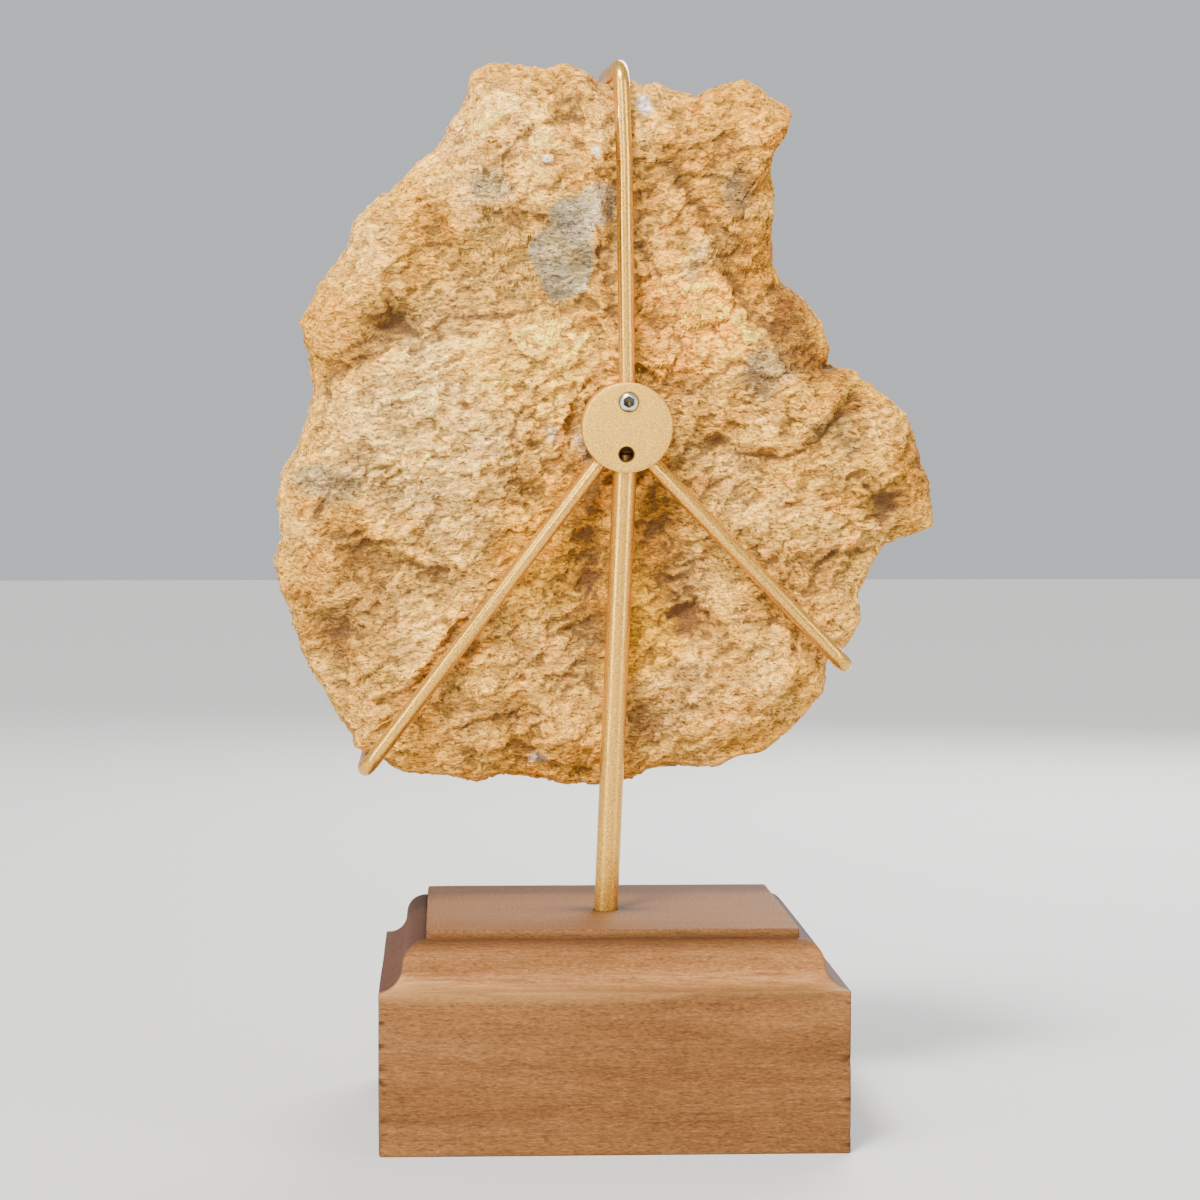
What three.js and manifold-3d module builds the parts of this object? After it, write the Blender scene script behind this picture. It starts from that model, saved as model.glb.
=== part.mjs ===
// A fossil sea urchin in a slab of rock, held by bent rods on a post and a moulded wood base.
// Millimetres, +Z up. The origin is the centre of the base's underside.
// The rods stand on the -Y side of the slab, and the fossil is on its +Y side.

import * as THREE from 'three';
import { mergeVertices } from 'three/addons/utils/BufferGeometryUtils.js';
import Module from 'manifold-3d';

const wasm = await Module();
wasm.setup();

// Driving dimensions
const gap = 0.3; // clearance between touching pieces
const baseWidth = 150;
const blockHeight = 52;
const mouldingRadius = 7.5; // the cove and the round above it
const filletHeight = 3; // upright strip under the top
const baseHeight = blockHeight + 2 * mouldingRadius + filletHeight;
const postRadius = 4;
const postSunk = 30; // length of post inside the base
const postFoot = new THREE.Vector3(0, -9, baseHeight);
const hubCentre = new THREE.Vector3(6.5, -17.5, 231.4);
const holderTilt = THREE.MathUtils.degToRad(3); // the holder leans its top towards -Y
const hubRadius = 15;
const hubThickness = 12;
const armRadius = 2.7;
const upperArmEnd = 5; // the upper arm's lower end, above the hub's centre
const screwRadius = 3;
const screwLength = 4.2;
const screwPlace = [0.4, 8.5];
const holeRadius = 2.5;
const holePlace = [-0.3, -8.8];
const hexAcross = 3; // across the flats of the screw's socket
const slabBack = 6.5; // depth of the slab's back behind the hub's centre
const slabFront = 36; // depth of its front
const rimBack = 13;
const rimMiddle = 20;
const rimFront = 27;
const testRadius = 28;
const testCentre = [-8, 6];

// The holder's own frame: x across, y into the slab, z up, with the hub's centre at its origin.
const holder = new THREE.Group();
holder.position.copy(hubCentre);
holder.rotation.x = holderTilt;
holder.updateMatrixWorld(true);

// Materials
function material(color, roughness, metalness) {
  return new THREE.MeshStandardMaterial({ color, roughness, metalness });
}

const stainedWood = material(0x7d5c3e, 0.55, 0);
const goldMetal = material(0xb89a62, 0.35, 0.9);
const brightSteel = material(0xc8c8c4, 0.2, 1);
const ochreRock = material(0xb08a54, 0.95, 0);
const fossilCalcite = material(0x8d6f52, 0.7, 0);

// Solids
function toSolid(geometry) {
  const bare = geometry.clone();
  bare.deleteAttribute('normal');
  bare.deleteAttribute('uv');
  const merged = mergeVertices(bare, 1e-4);
  return new wasm.Manifold(new wasm.Mesh({
    numProp: 3,
    vertProperties: new Float32Array(merged.attributes.position.array),
    triVerts: new Uint32Array(merged.index.array),
  }));
}

function toGeometry(solid) {
  const mesh = solid.getMesh();
  const geometry = new THREE.BufferGeometry();
  geometry.setAttribute('position', new THREE.BufferAttribute(mesh.vertProperties, 3));
  geometry.setIndex(new THREE.BufferAttribute(mesh.triVerts, 1));
  geometry.computeVertexNormals();
  return geometry;
}

function addMesh(group, name, geometry, look) {
  const mesh = new THREE.Mesh(geometry, look);
  mesh.name = name;
  group.add(mesh);
}

// A closed skin over rings of points that all have the same count, from the first ring to the last.
function skinRings(rings) {
  const count = rings[0].length;
  const positions = rings.flat(2);
  const index = [];
  for (let row = 0; row + 1 < rings.length; row += 1) {
    for (let i = 0; i < count; i += 1) {
      const a = row * count + i;
      const b = row * count + ((i + 1) % count);
      index.push(a, b, b + count, a, b + count, a + count);
    }
  }
  const capCentre = (ring) => ring.reduce(
    (sum, point) => sum.map((value, axis) => value + point[axis] / count),
    [0, 0, 0],
  );
  const first = positions.length / 3;
  positions.push(...capCentre(rings[0]), ...capCentre(rings[rings.length - 1]));
  const lastRow = (rings.length - 1) * count;
  for (let i = 0; i < count; i += 1) {
    const next = (i + 1) % count;
    index.push(first, next, i);
    index.push(first + 1, lastRow + i, lastRow + next);
  }
  const geometry = new THREE.BufferGeometry();
  geometry.setAttribute('position', new THREE.Float32BufferAttribute(positions, 3));
  geometry.setIndex(index);
  return geometry;
}

// Rods
// A path through the points, with each corner rounded to the bend radius.
function roundedPath(points, bendRadius, arcSteps) {
  const path = [points[0].clone()];
  for (let i = 1; i + 1 < points.length; i += 1) {
    const back = points[i - 1].clone().sub(points[i]);
    const ahead = points[i + 1].clone().sub(points[i]);
    const halfAngle = back.angleTo(ahead) / 2;
    const reach = Math.min(bendRadius / Math.tan(halfAngle), 0.48 * back.length(), 0.48 * ahead.length());
    const start = points[i].clone().addScaledVector(back.normalize(), reach);
    const end = points[i].clone().addScaledVector(ahead.normalize(), reach);
    const radius = reach * Math.tan(halfAngle);
    const towards = back.clone().add(ahead).normalize();
    const middle = points[i].clone().addScaledVector(towards, radius / Math.sin(halfAngle));
    const from = start.clone().sub(middle);
    const turn = new THREE.Quaternion().setFromUnitVectors(
      from.clone().normalize(),
      end.clone().sub(middle).normalize(),
    );
    const steps = halfAngle > 1.4 ? 1 : arcSteps;
    for (let step = 0; step <= steps; step += 1) {
      const partTurn = new THREE.Quaternion().slerp(turn, step / steps);
      path.push(middle.clone().add(from.clone().applyQuaternion(partTurn)));
    }
  }
  path.push(points[points.length - 1].clone());
  return path;
}

function rod(path, radius, sides) {
  const tangents = path.map((point, i) => {
    const before = path[Math.max(i - 1, 0)];
    const after = path[Math.min(i + 1, path.length - 1)];
    return after.clone().sub(before).normalize();
  });
  const normal = new THREE.Vector3(1, 0.2, 0.1).cross(tangents[0]).normalize();
  const rings = [];
  path.forEach((point, i) => {
    if (i > 0) {
      normal.applyQuaternion(new THREE.Quaternion().setFromUnitVectors(tangents[i - 1], tangents[i]));
    }
    const side = tangents[i].clone().cross(normal);
    const ring = [];
    for (let k = 0; k < sides; k += 1) {
      const angle = (2 * Math.PI * k) / sides;
      const place = point.clone()
        .addScaledVector(normal, radius * Math.cos(angle))
        .addScaledVector(side, radius * Math.sin(angle));
      ring.push(place.toArray());
    }
    rings.push(ring);
  });
  return skinRings(rings);
}

const bendRadius = 6;
const armSides = 10;
const armPoints = {
  upper_arm: [[0.2, 0, upperArmEnd], [-1, 0, 88], [-2.3, 0, 118.5], [-5.5, 36.5, 116.5], [-7, 38, 99]],
  left_arm: [[-8, 0, -10.2], [-87, 0, -114.5], [-86.2, 38, -113.2], [-77, 39.5, -102]],
  right_arm: [[7.4, 0, -10.7], [73.7, 0, -79.8], [73, 37, -79], [64.5, 38.5, -70]],
};

function armGeometry(name, radius) {
  const corners = armPoints[name].map((point) => new THREE.Vector3(...point));
  return rod(roundedPath(corners, bendRadius, 4), radius, armSides);
}

// Post, straight from its hole in the base to the middle of the hub's lower hole
const footInHolder = holder.worldToLocal(postFoot.clone());
const postDirection = footInHolder.clone().negate().normalize();
const postTop = postDirection.clone().multiplyScalar(holePlace[1]);
const postBottom = footInHolder.clone().addScaledVector(postDirection, -postSunk);

function postGeometry(radius, bottomSlack) {
  const bottom = postBottom.clone().addScaledVector(postDirection, -bottomSlack);
  return rod([bottom, postTop], radius, 16);
}

// Base
function squareRing(halfWidth, z) {
  const corners = [[-1, -1], [1, -1], [1, 1], [-1, 1]];
  return corners.map(([x, y]) => [x * halfWidth, y * halfWidth, z]);
}

function baseGeometry() {
  const half = baseWidth / 2;
  const easing = 0.5; // small bevel on the bottom and top edges
  const curveSteps = 5;
  const rings = [squareRing(half - easing, 0), squareRing(half, easing)];
  for (let step = 0; step <= curveSteps; step += 1) {
    const angle = (Math.PI / 2) * (step / curveSteps);
    const inset = mouldingRadius * Math.sin(angle);
    rings.push(squareRing(half - inset, blockHeight + mouldingRadius * (1 - Math.cos(angle))));
  }
  for (let step = 1; step <= curveSteps; step += 1) {
    const angle = (Math.PI / 2) * (step / curveSteps);
    const inset = mouldingRadius * (2 - Math.cos(angle));
    rings.push(squareRing(half - inset, blockHeight + mouldingRadius * (1 + Math.sin(angle))));
  }
  const topHalf = half - 2 * mouldingRadius;
  rings.push(squareRing(topHalf, baseHeight - easing), squareRing(topHalf - easing, baseHeight));
  const postHole = postGeometry(postRadius + gap, gap).applyMatrix4(holder.matrixWorld);
  return toGeometry(toSolid(skinRings(rings)).subtract(toSolid(postHole)));
}

// Hub, a disc whose axis runs along y
function roundAlongY(profile, sides) {
  const points = profile.map(([radius, y]) => new THREE.Vector2(radius, y));
  return new THREE.LatheGeometry(points, sides);
}

function faceHole(place, radius, depth) {
  const outside = hubThickness / 2 + 2;
  const profile = [[0, -outside], [radius, -outside], [radius, depth], [0, depth]];
  return roundAlongY(profile, 14).translate(place[0], 0, place[1]);
}

function hubGeometry() {
  const half = hubThickness / 2;
  const chamfer = 0.6;
  const profile = [
    [0, -half], [hubRadius - chamfer, -half], [hubRadius, chamfer - half],
    [hubRadius, half - chamfer], [hubRadius - chamfer, half], [0, half],
  ];
  let solid = toSolid(roundAlongY(profile, 32));
  const cutters = [postGeometry(postRadius + gap, 0).translate(0, 0, gap)];
  const upperSocket = [new THREE.Vector3(0.2, 0, upperArmEnd - gap), new THREE.Vector3(0, 0, 30)];
  cutters.push(rod(upperSocket, armRadius + gap, 12));
  for (const name of ['left_arm', 'right_arm']) {
    const [start, end] = armPoints[name].map((point) => new THREE.Vector3(...point));
    const direction = end.clone().sub(start).normalize();
    cutters.push(rod([start.clone().addScaledVector(direction, -gap), end], armRadius + gap, 12));
  }
  cutters.push(faceHole(screwPlace, screwRadius + gap, -armRadius + 0.5));
  cutters.push(faceHole(holePlace, holeRadius, 0.5));
  for (const cutter of cutters) {
    solid = solid.subtract(toSolid(cutter));
  }
  return toGeometry(solid);
}

function screwGeometry() {
  const tip = -armRadius - gap;
  const head = tip - screwLength;
  const chamfer = 0.5;
  const profile = [
    [0, head], [screwRadius - chamfer, head], [screwRadius, head + chamfer],
    [screwRadius, tip - chamfer], [screwRadius - chamfer, tip], [0, tip],
  ];
  const socketRadius = hexAcross / Math.sqrt(3);
  const socketDepth = 2.2;
  const bottom = head + socketDepth;
  const socket = [[0, head - 1], [socketRadius, head - 1], [socketRadius, bottom], [0, bottom]];
  const body = toSolid(roundAlongY(profile, 16));
  return toGeometry(body.subtract(toSolid(roundAlongY(socket, 6)))).translate(screwPlace[0], 0, screwPlace[1]);
}

// Slab
// Outline at the middle of the slab's thickness, right and up from the hub's centre, anticlockwise
// as seen from the holder's side. The notches at the three hooks let the rods pass.
const slabCentre = [-8, -2];
const outline = [
  [-109, 35], [-106, 23], [-104, 11], [-109, -3], [-112, -11], [-115, -17], [-117, -27], [-116, -38],
  [-118, -47], [-116, -55], [-111, -68], [-109, -76], [-104, -86], [-97, -98], [-92, -104], [-91.5, -110],
  [-87, -110.8], [-81, -114], [-75, -118], [-67, -119], [-59, -119], [-51, -121], [-40, -118], [-30, -120],
  [-19, -122], [-9, -122], [3, -120], [9, -117], [15, -116], [24, -116], [31, -117], [40, -113],
  [48, -111], [58, -103], [64, -97], [68, -92], [69, -87], [69.5, -82], [71, -77.5], [76, -75.5],
  [79, -70], [81, -66], [80, -58], [84, -48], [89, -40], [99, -37], [105, -34], [105, -22],
  [101, -14], [99, -5], [96, 3], [90, 9], [82, 15], [77, 18], [68, 20], [69, 27],
  [66, 35], [60, 43], [53, 48], [49, 55], [50, 67], [50, 78], [49, 86], [50, 93],
  [55, 102], [56, 106], [49, 110], [45, 114], [40, 116], [29, 113], [24, 110], [15, 112],
  [10, 115], [2, 115.5], [-4, 113.6], [-9, 114.5], [-13, 118], [-20, 121], [-28, 119], [-37, 120],
  [-46, 121], [-51, 118], [-53, 109], [-58, 101], [-63, 93], [-70, 87], [-79, 79], [-87, 73],
  [-91, 68], [-92, 62], [-97, 54], [-104, 45],
];

// Relief of the holder's side. Heights stand out of the face, in millimetres.
const backBumps = [
  { name: 'pale bulge', at: [-58, 0], size: [38, 30], turn: 10, height: 5.5 },
  { name: 'bulge right of the upper arm', at: [27, 36], size: [24, 15], turn: -50, height: 5.5 },
  { name: 'top left lobe', at: [-26, 92], size: [22, 26], turn: 0, height: 3 },
  { name: 'right lobe', at: [78, -4], size: [20, 15], turn: -30, height: 3 },
  { name: 'swelling by the right arm', at: [54, -26], size: [24, 14], turn: -25, height: 3.5 },
  { name: 'lower right swelling', at: [40, -84], size: [28, 17], turn: 10, height: 4.5 },
  { name: 'lower left swelling', at: [-58, -76], size: [26, 18], turn: 35, height: 4 },
  { name: 'bottom swelling', at: [-20, -100], size: [18, 10], turn: 0, height: 2.5 },
  { name: 'upper left shoulder', at: [-100, 30], size: [9, 10], turn: 0, height: 2 },
  { name: 'pit over the bulge', at: [-78, 34], size: [7, 6], turn: 20, height: -5 },
  { name: 'left hollow', at: [-99, -21], size: [9, 8], turn: 0, height: -3.5 },
  { name: 'lower left hollow', at: [-96, -71], size: [9, 12], turn: 20, height: -3.5 },
  { name: 'right pit', at: [88, -26], size: [8, 6], turn: 20, height: -5 },
  { name: 'bottom pit', at: [6, -101], size: [9, 8], turn: 0, height: -4 },
  { name: 'valley left of the post', at: [-13, -50], size: [8, 34], turn: 0, height: -4 },
  { name: 'valley right of the post', at: [13, -46], size: [9, 26], turn: 18, height: -4 },
  { name: 'hollow under the right arm', at: [24, -64], size: [15, 8], turn: -35, height: -2.5 },
  { name: 'hollow right of the crease', at: [50, 34], size: [9, 16], turn: 40, height: -3 },
  { name: 'scoop at the top', at: [-16, 103], size: [6, 9], turn: 20, height: -3.5 },
];
const backSteps = [
  { name: 'seam by the upper arm', along: [[-5, 116], [-8, 70], [-6, 38]], height: 3.2, fade: 16 },
  { name: 'edge over the bulge', along: [[-9, 39], [-36, 35], [-76, 26], [-106, 9]], height: -3.2, fade: 22 },
  { name: 'long crease', along: [[4, 100], [24, 66], [38, 39], [54, 19], [63, 9]], height: 3.6, fade: 16 },
  { name: 'lip on the right', along: [[31, -4], [44, -9], [58, -7], [68, 3], [73, 10]], height: -3.2, fade: 14 },
  { name: 'right ledge', along: [[69, -44], [84, -39]], height: -2.4, fade: 10 },
  { name: 'left overhangs', along: [[-59, -48], [-73, -44], [-86, -37]], height: 3, fade: 13 },
  { name: 'lower left ledge', along: [[-83, -91], [-73, -88], [-62, -80]], height: -2.4, fade: 10 },
  { name: 'bottom ledge', along: [[-59, -109], [-36, -107], [-23, -114]], height: -2.4, fade: 12 },
  { name: 'lower right crease', along: [[56, -68], [54, -92]], height: 2.4, fade: 12 },
  { name: 'edge of the scoop', along: [[-24, 114], [-25, 101], [-17, 91]], height: 2.2, fade: 10 },
  { name: 'crease at the upper left', along: [[-82, 60], [-80, 42], [-75, 33]], height: 2.2, fade: 12 },
  { name: 'ridge under the right arm', along: [[12, -66], [24, -58], [36, -72]], height: -2, fade: 12 },
];
const backNoise = [{ cell: 26, height: 2.2, seed: 3 }, { cell: 11, height: 1.5, seed: 7 }];

// Relief of the fossil side
const frontBumps = [
  { name: 'mound under the urchin', at: testCentre, size: [46, 42], turn: 0, height: 4 },
  { name: 'top shoulder', at: [-24, 90], size: [26, 20], turn: 0, height: -3 },
  { name: 'right shoulder', at: [84, -12], size: [20, 18], turn: 0, height: -3 },
  { name: 'lower shoulder', at: [30, -92], size: [40, 16], turn: 10, height: -3 },
  { name: 'left shoulder', at: [-98, -30], size: [14, 36], turn: 0, height: -3 },
];
const frontSteps = [
  { name: 'upper ledge', along: [[-84, 60], [-52, 72], [-34, 100]], height: 2.6, fade: 20 },
  { name: 'lower ledge', along: [[66, -62], [40, -78], [12, -94], [-24, -100]], height: 2.6, fade: 20 },
];
const frontNoise = [{ cell: 24, height: 1.6, seed: 13 }, { cell: 10, height: 1.1, seed: 17 }];

function bumpHeight(x, y, bump) {
  const turn = THREE.MathUtils.degToRad(bump.turn);
  const dx = x - bump.at[0];
  const dy = y - bump.at[1];
  const across = (dx * Math.cos(turn) + dy * Math.sin(turn)) / bump.size[0];
  const along = (dy * Math.cos(turn) - dx * Math.sin(turn)) / bump.size[1];
  return bump.height * Math.exp(-across * across - along * along);
}

// A step follows a line: the face stands higher on the line's right side and falls off behind it.
function stepHeight(x, y, step) {
  let nearest = Infinity;
  let side = 1;
  for (let i = 0; i + 1 < step.along.length; i += 1) {
    const [ax, ay] = step.along[i];
    const ex = step.along[i + 1][0] - ax;
    const ey = step.along[i + 1][1] - ay;
    const part = THREE.MathUtils.clamp(((x - ax) * ex + (y - ay) * ey) / (ex * ex + ey * ey), 0, 1);
    const dx = x - ax - part * ex;
    const dy = y - ay - part * ey;
    const distance = Math.hypot(dx, dy);
    if (distance < nearest) {
      nearest = distance;
      side = Math.sign(dx * ey - dy * ex) || 1;
    }
  }
  const rise = THREE.MathUtils.smoothstep(side * nearest, -1.5, 1.5);
  return step.height * (rise * Math.exp(-nearest / step.fade) - 0.35 * Math.exp(-nearest / 3));
}

function latticeValue(i, j, seed) {
  const value = Math.sin(i * 127.1 + j * 311.7 + seed * 74.7) * 43758.5453;
  return value - Math.floor(value);
}

function noiseHeight(x, y, { cell, height, seed }) {
  const i = Math.floor(x / cell);
  const j = Math.floor(y / cell);
  const s = THREE.MathUtils.smoothstep(x / cell - i, 0, 1);
  const t = THREE.MathUtils.smoothstep(y / cell - j, 0, 1);
  const low = THREE.MathUtils.lerp(latticeValue(i, j, seed), latticeValue(i + 1, j, seed), s);
  const high = THREE.MathUtils.lerp(latticeValue(i, j + 1, seed), latticeValue(i + 1, j + 1, seed), s);
  return height * (2 * THREE.MathUtils.lerp(low, high, t) - 1);
}

function reliefHeight(x, y, bumps, steps, noises) {
  let height = 0;
  for (const bump of bumps) height += bumpHeight(x, y, bump);
  for (const step of steps) height += stepHeight(x, y, step);
  for (const noise of noises) height += noiseHeight(x, y, noise);
  return height;
}

// The face falls off towards the rim over the outer part of the radius.
function bevel(share) {
  const bevelStart = 0.86;
  return Math.max(0, (share - bevelStart) / (1 - bevelStart)) ** 1.7;
}

function backDepth(x, y, share) {
  const face = slabBack - reliefHeight(x, y, backBumps, backSteps, backNoise);
  const fall = bevel(share);
  return THREE.MathUtils.lerp(Math.max(face, clearOfRods(x, y)), rimBack + noiseHeight(x, y, frontNoise[1]), fall);
}

// The least depth of the back face that stays behind the hub, the post and the arms.
function clearOfRods(x, y) {
  const behind = (distance, reach, depth) => (distance < reach ? depth : -Infinity);
  let least = behind(Math.hypot(x, y), hubRadius + 12, hubThickness / 2 + 1);
  const lines = [
    [[0, 0], [footInHolder.x, footInHolder.z], postRadius],
    [[0, 0], [-2, 118], armRadius],
    [[0, 0], [-87, -114.5], armRadius],
    [[0, 0], [73.7, -79.8], armRadius],
  ];
  for (const [from, to, radius] of lines) {
    const line = new THREE.Line3(new THREE.Vector3(...from, 0), new THREE.Vector3(...to, 0));
    const point = new THREE.Vector3(x, y, 0);
    const distance = line.closestPointToPoint(point, true, new THREE.Vector3()).distanceTo(point);
    least = Math.max(least, behind(distance, radius + 6, radius + 1));
  }
  return least;
}

function frontDepth(x, y, share) {
  const face = slabFront + reliefHeight(x, y, frontBumps, frontSteps, frontNoise);
  return THREE.MathUtils.lerp(face, rimFront + noiseHeight(x, y, backNoise[1]), bevel(share));
}

const backShares = [0.13, 0.25, 0.36, 0.47, 0.57, 0.67, 0.76, 0.84, 0.91, 0.955, 0.985];
const frontShares = [0.2, 0.38, 0.55, 0.7, 0.83, 0.93, 0.985];

function slabRing(share, depth) {
  return outline.map(([x, y]) => {
    const px = slabCentre[0] + (x - slabCentre[0]) * share;
    const py = slabCentre[1] + (y - slabCentre[1]) * share;
    return [px, depth(px, py, share), py];
  });
}

function slabSolid() {
  const rings = [
    ...frontShares.map((share) => slabRing(share, frontDepth)),
    slabRing(1, (x, y) => rimMiddle + noiseHeight(x, y, { cell: 18, height: 3, seed: 5 })),
    ...backShares.map((share) => slabRing(share, backDepth)).reverse(),
  ];
  return toSolid(skinRings(rings));
}

// Fossil
// The urchin's shell is a low dome with five sunk bands between its rows of knobs.
const testHeight = 18;
const testSunk = 9;
const testFace = frontDepth(...testCentre, 0) + 0.5;
const bandCount = 5;

function testSkin(swell) {
  const spokes = 25;
  const radius = testRadius + swell;
  const ring = (share, y) => {
    const points = [];
    for (let k = 0; k < spokes; k += 1) {
      const angle = (2 * Math.PI * k) / spokes;
      const groove = 0.8 * Math.max(0, Math.cos(bandCount * angle)) ** 4;
      const reach = radius * share - groove;
      points.push([reach * Math.cos(angle), y, reach * Math.sin(angle)]);
    }
    return points;
  };
  const rings = [74, 54, 34, 12].map((lift) => {
    const angle = THREE.MathUtils.degToRad(lift);
    return ring(Math.cos(angle) ** 0.8, (testHeight + swell) * Math.sin(angle));
  });
  rings.push(ring(0.97, -testSunk * 0.4), ring(0.86, -testSunk - swell));
  return skinRings(rings);
}

const knobProfile = [[0, -1], [4.2, -1], [1.8, 2.2], [0, 3]];

function knob(angle, lift, swell) {
  const rise = THREE.MathUtils.degToRad(lift);
  const size = 0.75 + 0.35 * Math.cos(rise);
  const profile = knobProfile.map(([radius, y]) => [
    radius * size + (radius > 0 ? swell : 0),
    y * size + (y > 0 ? swell : 0),
  ]);
  const outwards = new THREE.Vector3(
    Math.cos(rise) * Math.cos(angle) / testRadius,
    Math.sin(rise) / testHeight,
    Math.cos(rise) * Math.sin(angle) / testRadius,
  ).normalize();
  const reach = testRadius * Math.cos(rise) ** 0.8;
  const turn = new THREE.Quaternion().setFromUnitVectors(new THREE.Vector3(0, 1, 0), outwards);
  return roundAlongY(profile, 6)
    .applyQuaternion(turn)
    .translate(reach * Math.cos(angle), testHeight * Math.sin(rise) - 0.4, reach * Math.sin(angle));
}

function testSolid(swell) {
  let solid = toSolid(testSkin(swell));
  for (let area = 0; area < bandCount; area += 1) {
    for (const side of [-1, 1]) {
      for (const [row, lift] of [18, 38, 60].entries()) {
        const spread = THREE.MathUtils.degToRad([9.5, 11, 15][row]);
        const angle = ((area + 0.5) * 2 * Math.PI) / bandCount + side * spread;
        solid = solid.add(toSolid(knob(angle, lift, swell)));
      }
    }
  }
  return solid.translate(testCentre[0], testFace, testCentre[1]);
}

// Spines lie half sunk in the slab: place of the middle, direction of the thick end, length.
const spines = [
  { at: [40, 28], turn: 12, length: 46 },
  { at: [22, 62], turn: 74, length: 42 },
  { at: [-22, 66], turn: 112, length: 48 },
  { at: [-56, 46], turn: 128, length: 42 },
  { at: [-70, 8], turn: 186, length: 46 },
  { at: [-58, -34], turn: 202, length: 44 },
  { at: [-40, -74], turn: 250, length: 48 },
  { at: [-6, -64], turn: 268, length: 44 },
  { at: [32, -52], turn: 326, length: 46 },
  { at: [54, -14], turn: 330, length: 42 },
  { at: [82, -24], turn: 78, length: 34 },
  { at: [-90, -58], turn: 292, length: 36 },
];
const spineGirth = 0.11; // greatest radius as a share of the length

function spineGeometry(spine, swell) {
  const { length } = spine;
  const thick = length * spineGirth;
  const profile = [
    [0, -0.5], [0.52, -0.48], [0.36, -0.4], [0.88, 0.02], [1, 0.22], [0.72, 0.42], [0, 0.5],
  ].map(([radius, along]) => [radius * thick + (radius > 0 ? swell : 0), along * (length + 2 * swell)]);
  const turn = THREE.MathUtils.degToRad(spine.turn - 90);
  const [x, z] = spine.at;
  return roundAlongY(profile, 7)
    .rotateX(Math.PI / 2)
    .rotateY(-turn)
    .translate(x, frontDepth(x, z, 0) + 0.15 * thick, z);
}

function matrixGeometry() {
  let solid = slabSolid();
  const cutters = Object.keys(armPoints).map((name) => armGeometry(name, armRadius + gap));
  cutters.push(...spines.map((spine) => spineGeometry(spine, gap)));
  for (const cutter of cutters) {
    solid = solid.subtract(toSolid(cutter));
  }
  return toGeometry(solid.subtract(testSolid(gap)));
}

// The whole object
const fossilOnStand = new THREE.Group();
addMesh(fossilOnStand, 'base', baseGeometry(), stainedWood);
fossilOnStand.add(holder);
addMesh(holder, 'post', postGeometry(postRadius, 0), goldMetal);
addMesh(holder, 'hub', hubGeometry(), goldMetal);
addMesh(holder, 'set_screw', screwGeometry(), brightSteel);
for (const name of Object.keys(armPoints)) {
  addMesh(holder, name, armGeometry(name, armRadius), goldMetal);
}
addMesh(holder, 'matrix', matrixGeometry(), ochreRock);
addMesh(holder, 'sea_urchin_test', toGeometry(testSolid(0)), fossilCalcite);
spines.forEach((spine, i) => {
  const number = String(i + 1).padStart(2, '0');
  addMesh(holder, `urchin_spine_${number}`, spineGeometry(spine, 0), fossilCalcite);
});

export default fossilOnStand;
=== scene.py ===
import math

import bmesh
import bpy
import numpy as np
from mathutils import Matrix, Quaternion, Vector, noise


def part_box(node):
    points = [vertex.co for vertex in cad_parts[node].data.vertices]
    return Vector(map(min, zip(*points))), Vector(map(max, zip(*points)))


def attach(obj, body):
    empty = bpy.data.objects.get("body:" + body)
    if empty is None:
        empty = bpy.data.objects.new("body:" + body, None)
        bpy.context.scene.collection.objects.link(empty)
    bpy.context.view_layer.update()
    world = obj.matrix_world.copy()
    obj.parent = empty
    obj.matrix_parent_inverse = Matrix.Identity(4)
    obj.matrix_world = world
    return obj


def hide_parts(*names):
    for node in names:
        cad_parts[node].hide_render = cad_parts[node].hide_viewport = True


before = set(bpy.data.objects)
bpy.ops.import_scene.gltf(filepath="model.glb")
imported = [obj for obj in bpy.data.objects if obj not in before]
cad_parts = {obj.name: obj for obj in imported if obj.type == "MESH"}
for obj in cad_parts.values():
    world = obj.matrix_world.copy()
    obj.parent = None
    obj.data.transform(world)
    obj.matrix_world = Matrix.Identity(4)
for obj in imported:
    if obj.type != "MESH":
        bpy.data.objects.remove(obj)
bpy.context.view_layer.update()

noise.seed_set(3)  # noise_vector would otherwise start from the clock
mm = 0.001  # one millimetre; the scene is in metres

# Camera, where the photograph was taken from: nearly square on to the base, and above it
cameraSettings = {
    "place": (-0.0528, -1.147, 0.2148),
    "turnedRight": 2.558,  # degrees
    "tippedDown": 2.061,
    "lens": 102.3,
}


def makeCamera(settings):
    data = bpy.data.cameras.new("camera")
    data.lens = settings["lens"]
    data.sensor_width = 36
    camera = bpy.data.objects.new("camera", data)
    camera.location = settings["place"]
    camera.rotation_euler = (
        math.radians(90 - settings["tippedDown"]), 0, math.radians(-settings["turnedRight"]))
    bpy.context.scene.collection.objects.link(camera)
    bpy.context.scene.camera = camera


makeCamera(cameraSettings)

# Holder frame: x across, y into the slab, z up, origin at the hub's centre, in millimetres
holderPlace = {
    "hubCentre": (6.5, -17.5, 231.4),
    "tilt": 3.0,  # degrees, the top leans towards -Y
    "postFoot": (0.0, -9.0, 70.0),
    "postSunk": 30.0,
    "postTop": 8.8,  # below the hub's centre, halfway up the open hole
}
holderMatrix = Matrix.Translation(holderPlace["hubCentre"]) @ Matrix.Rotation(
    math.radians(holderPlace["tilt"]), 4, "X")

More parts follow.
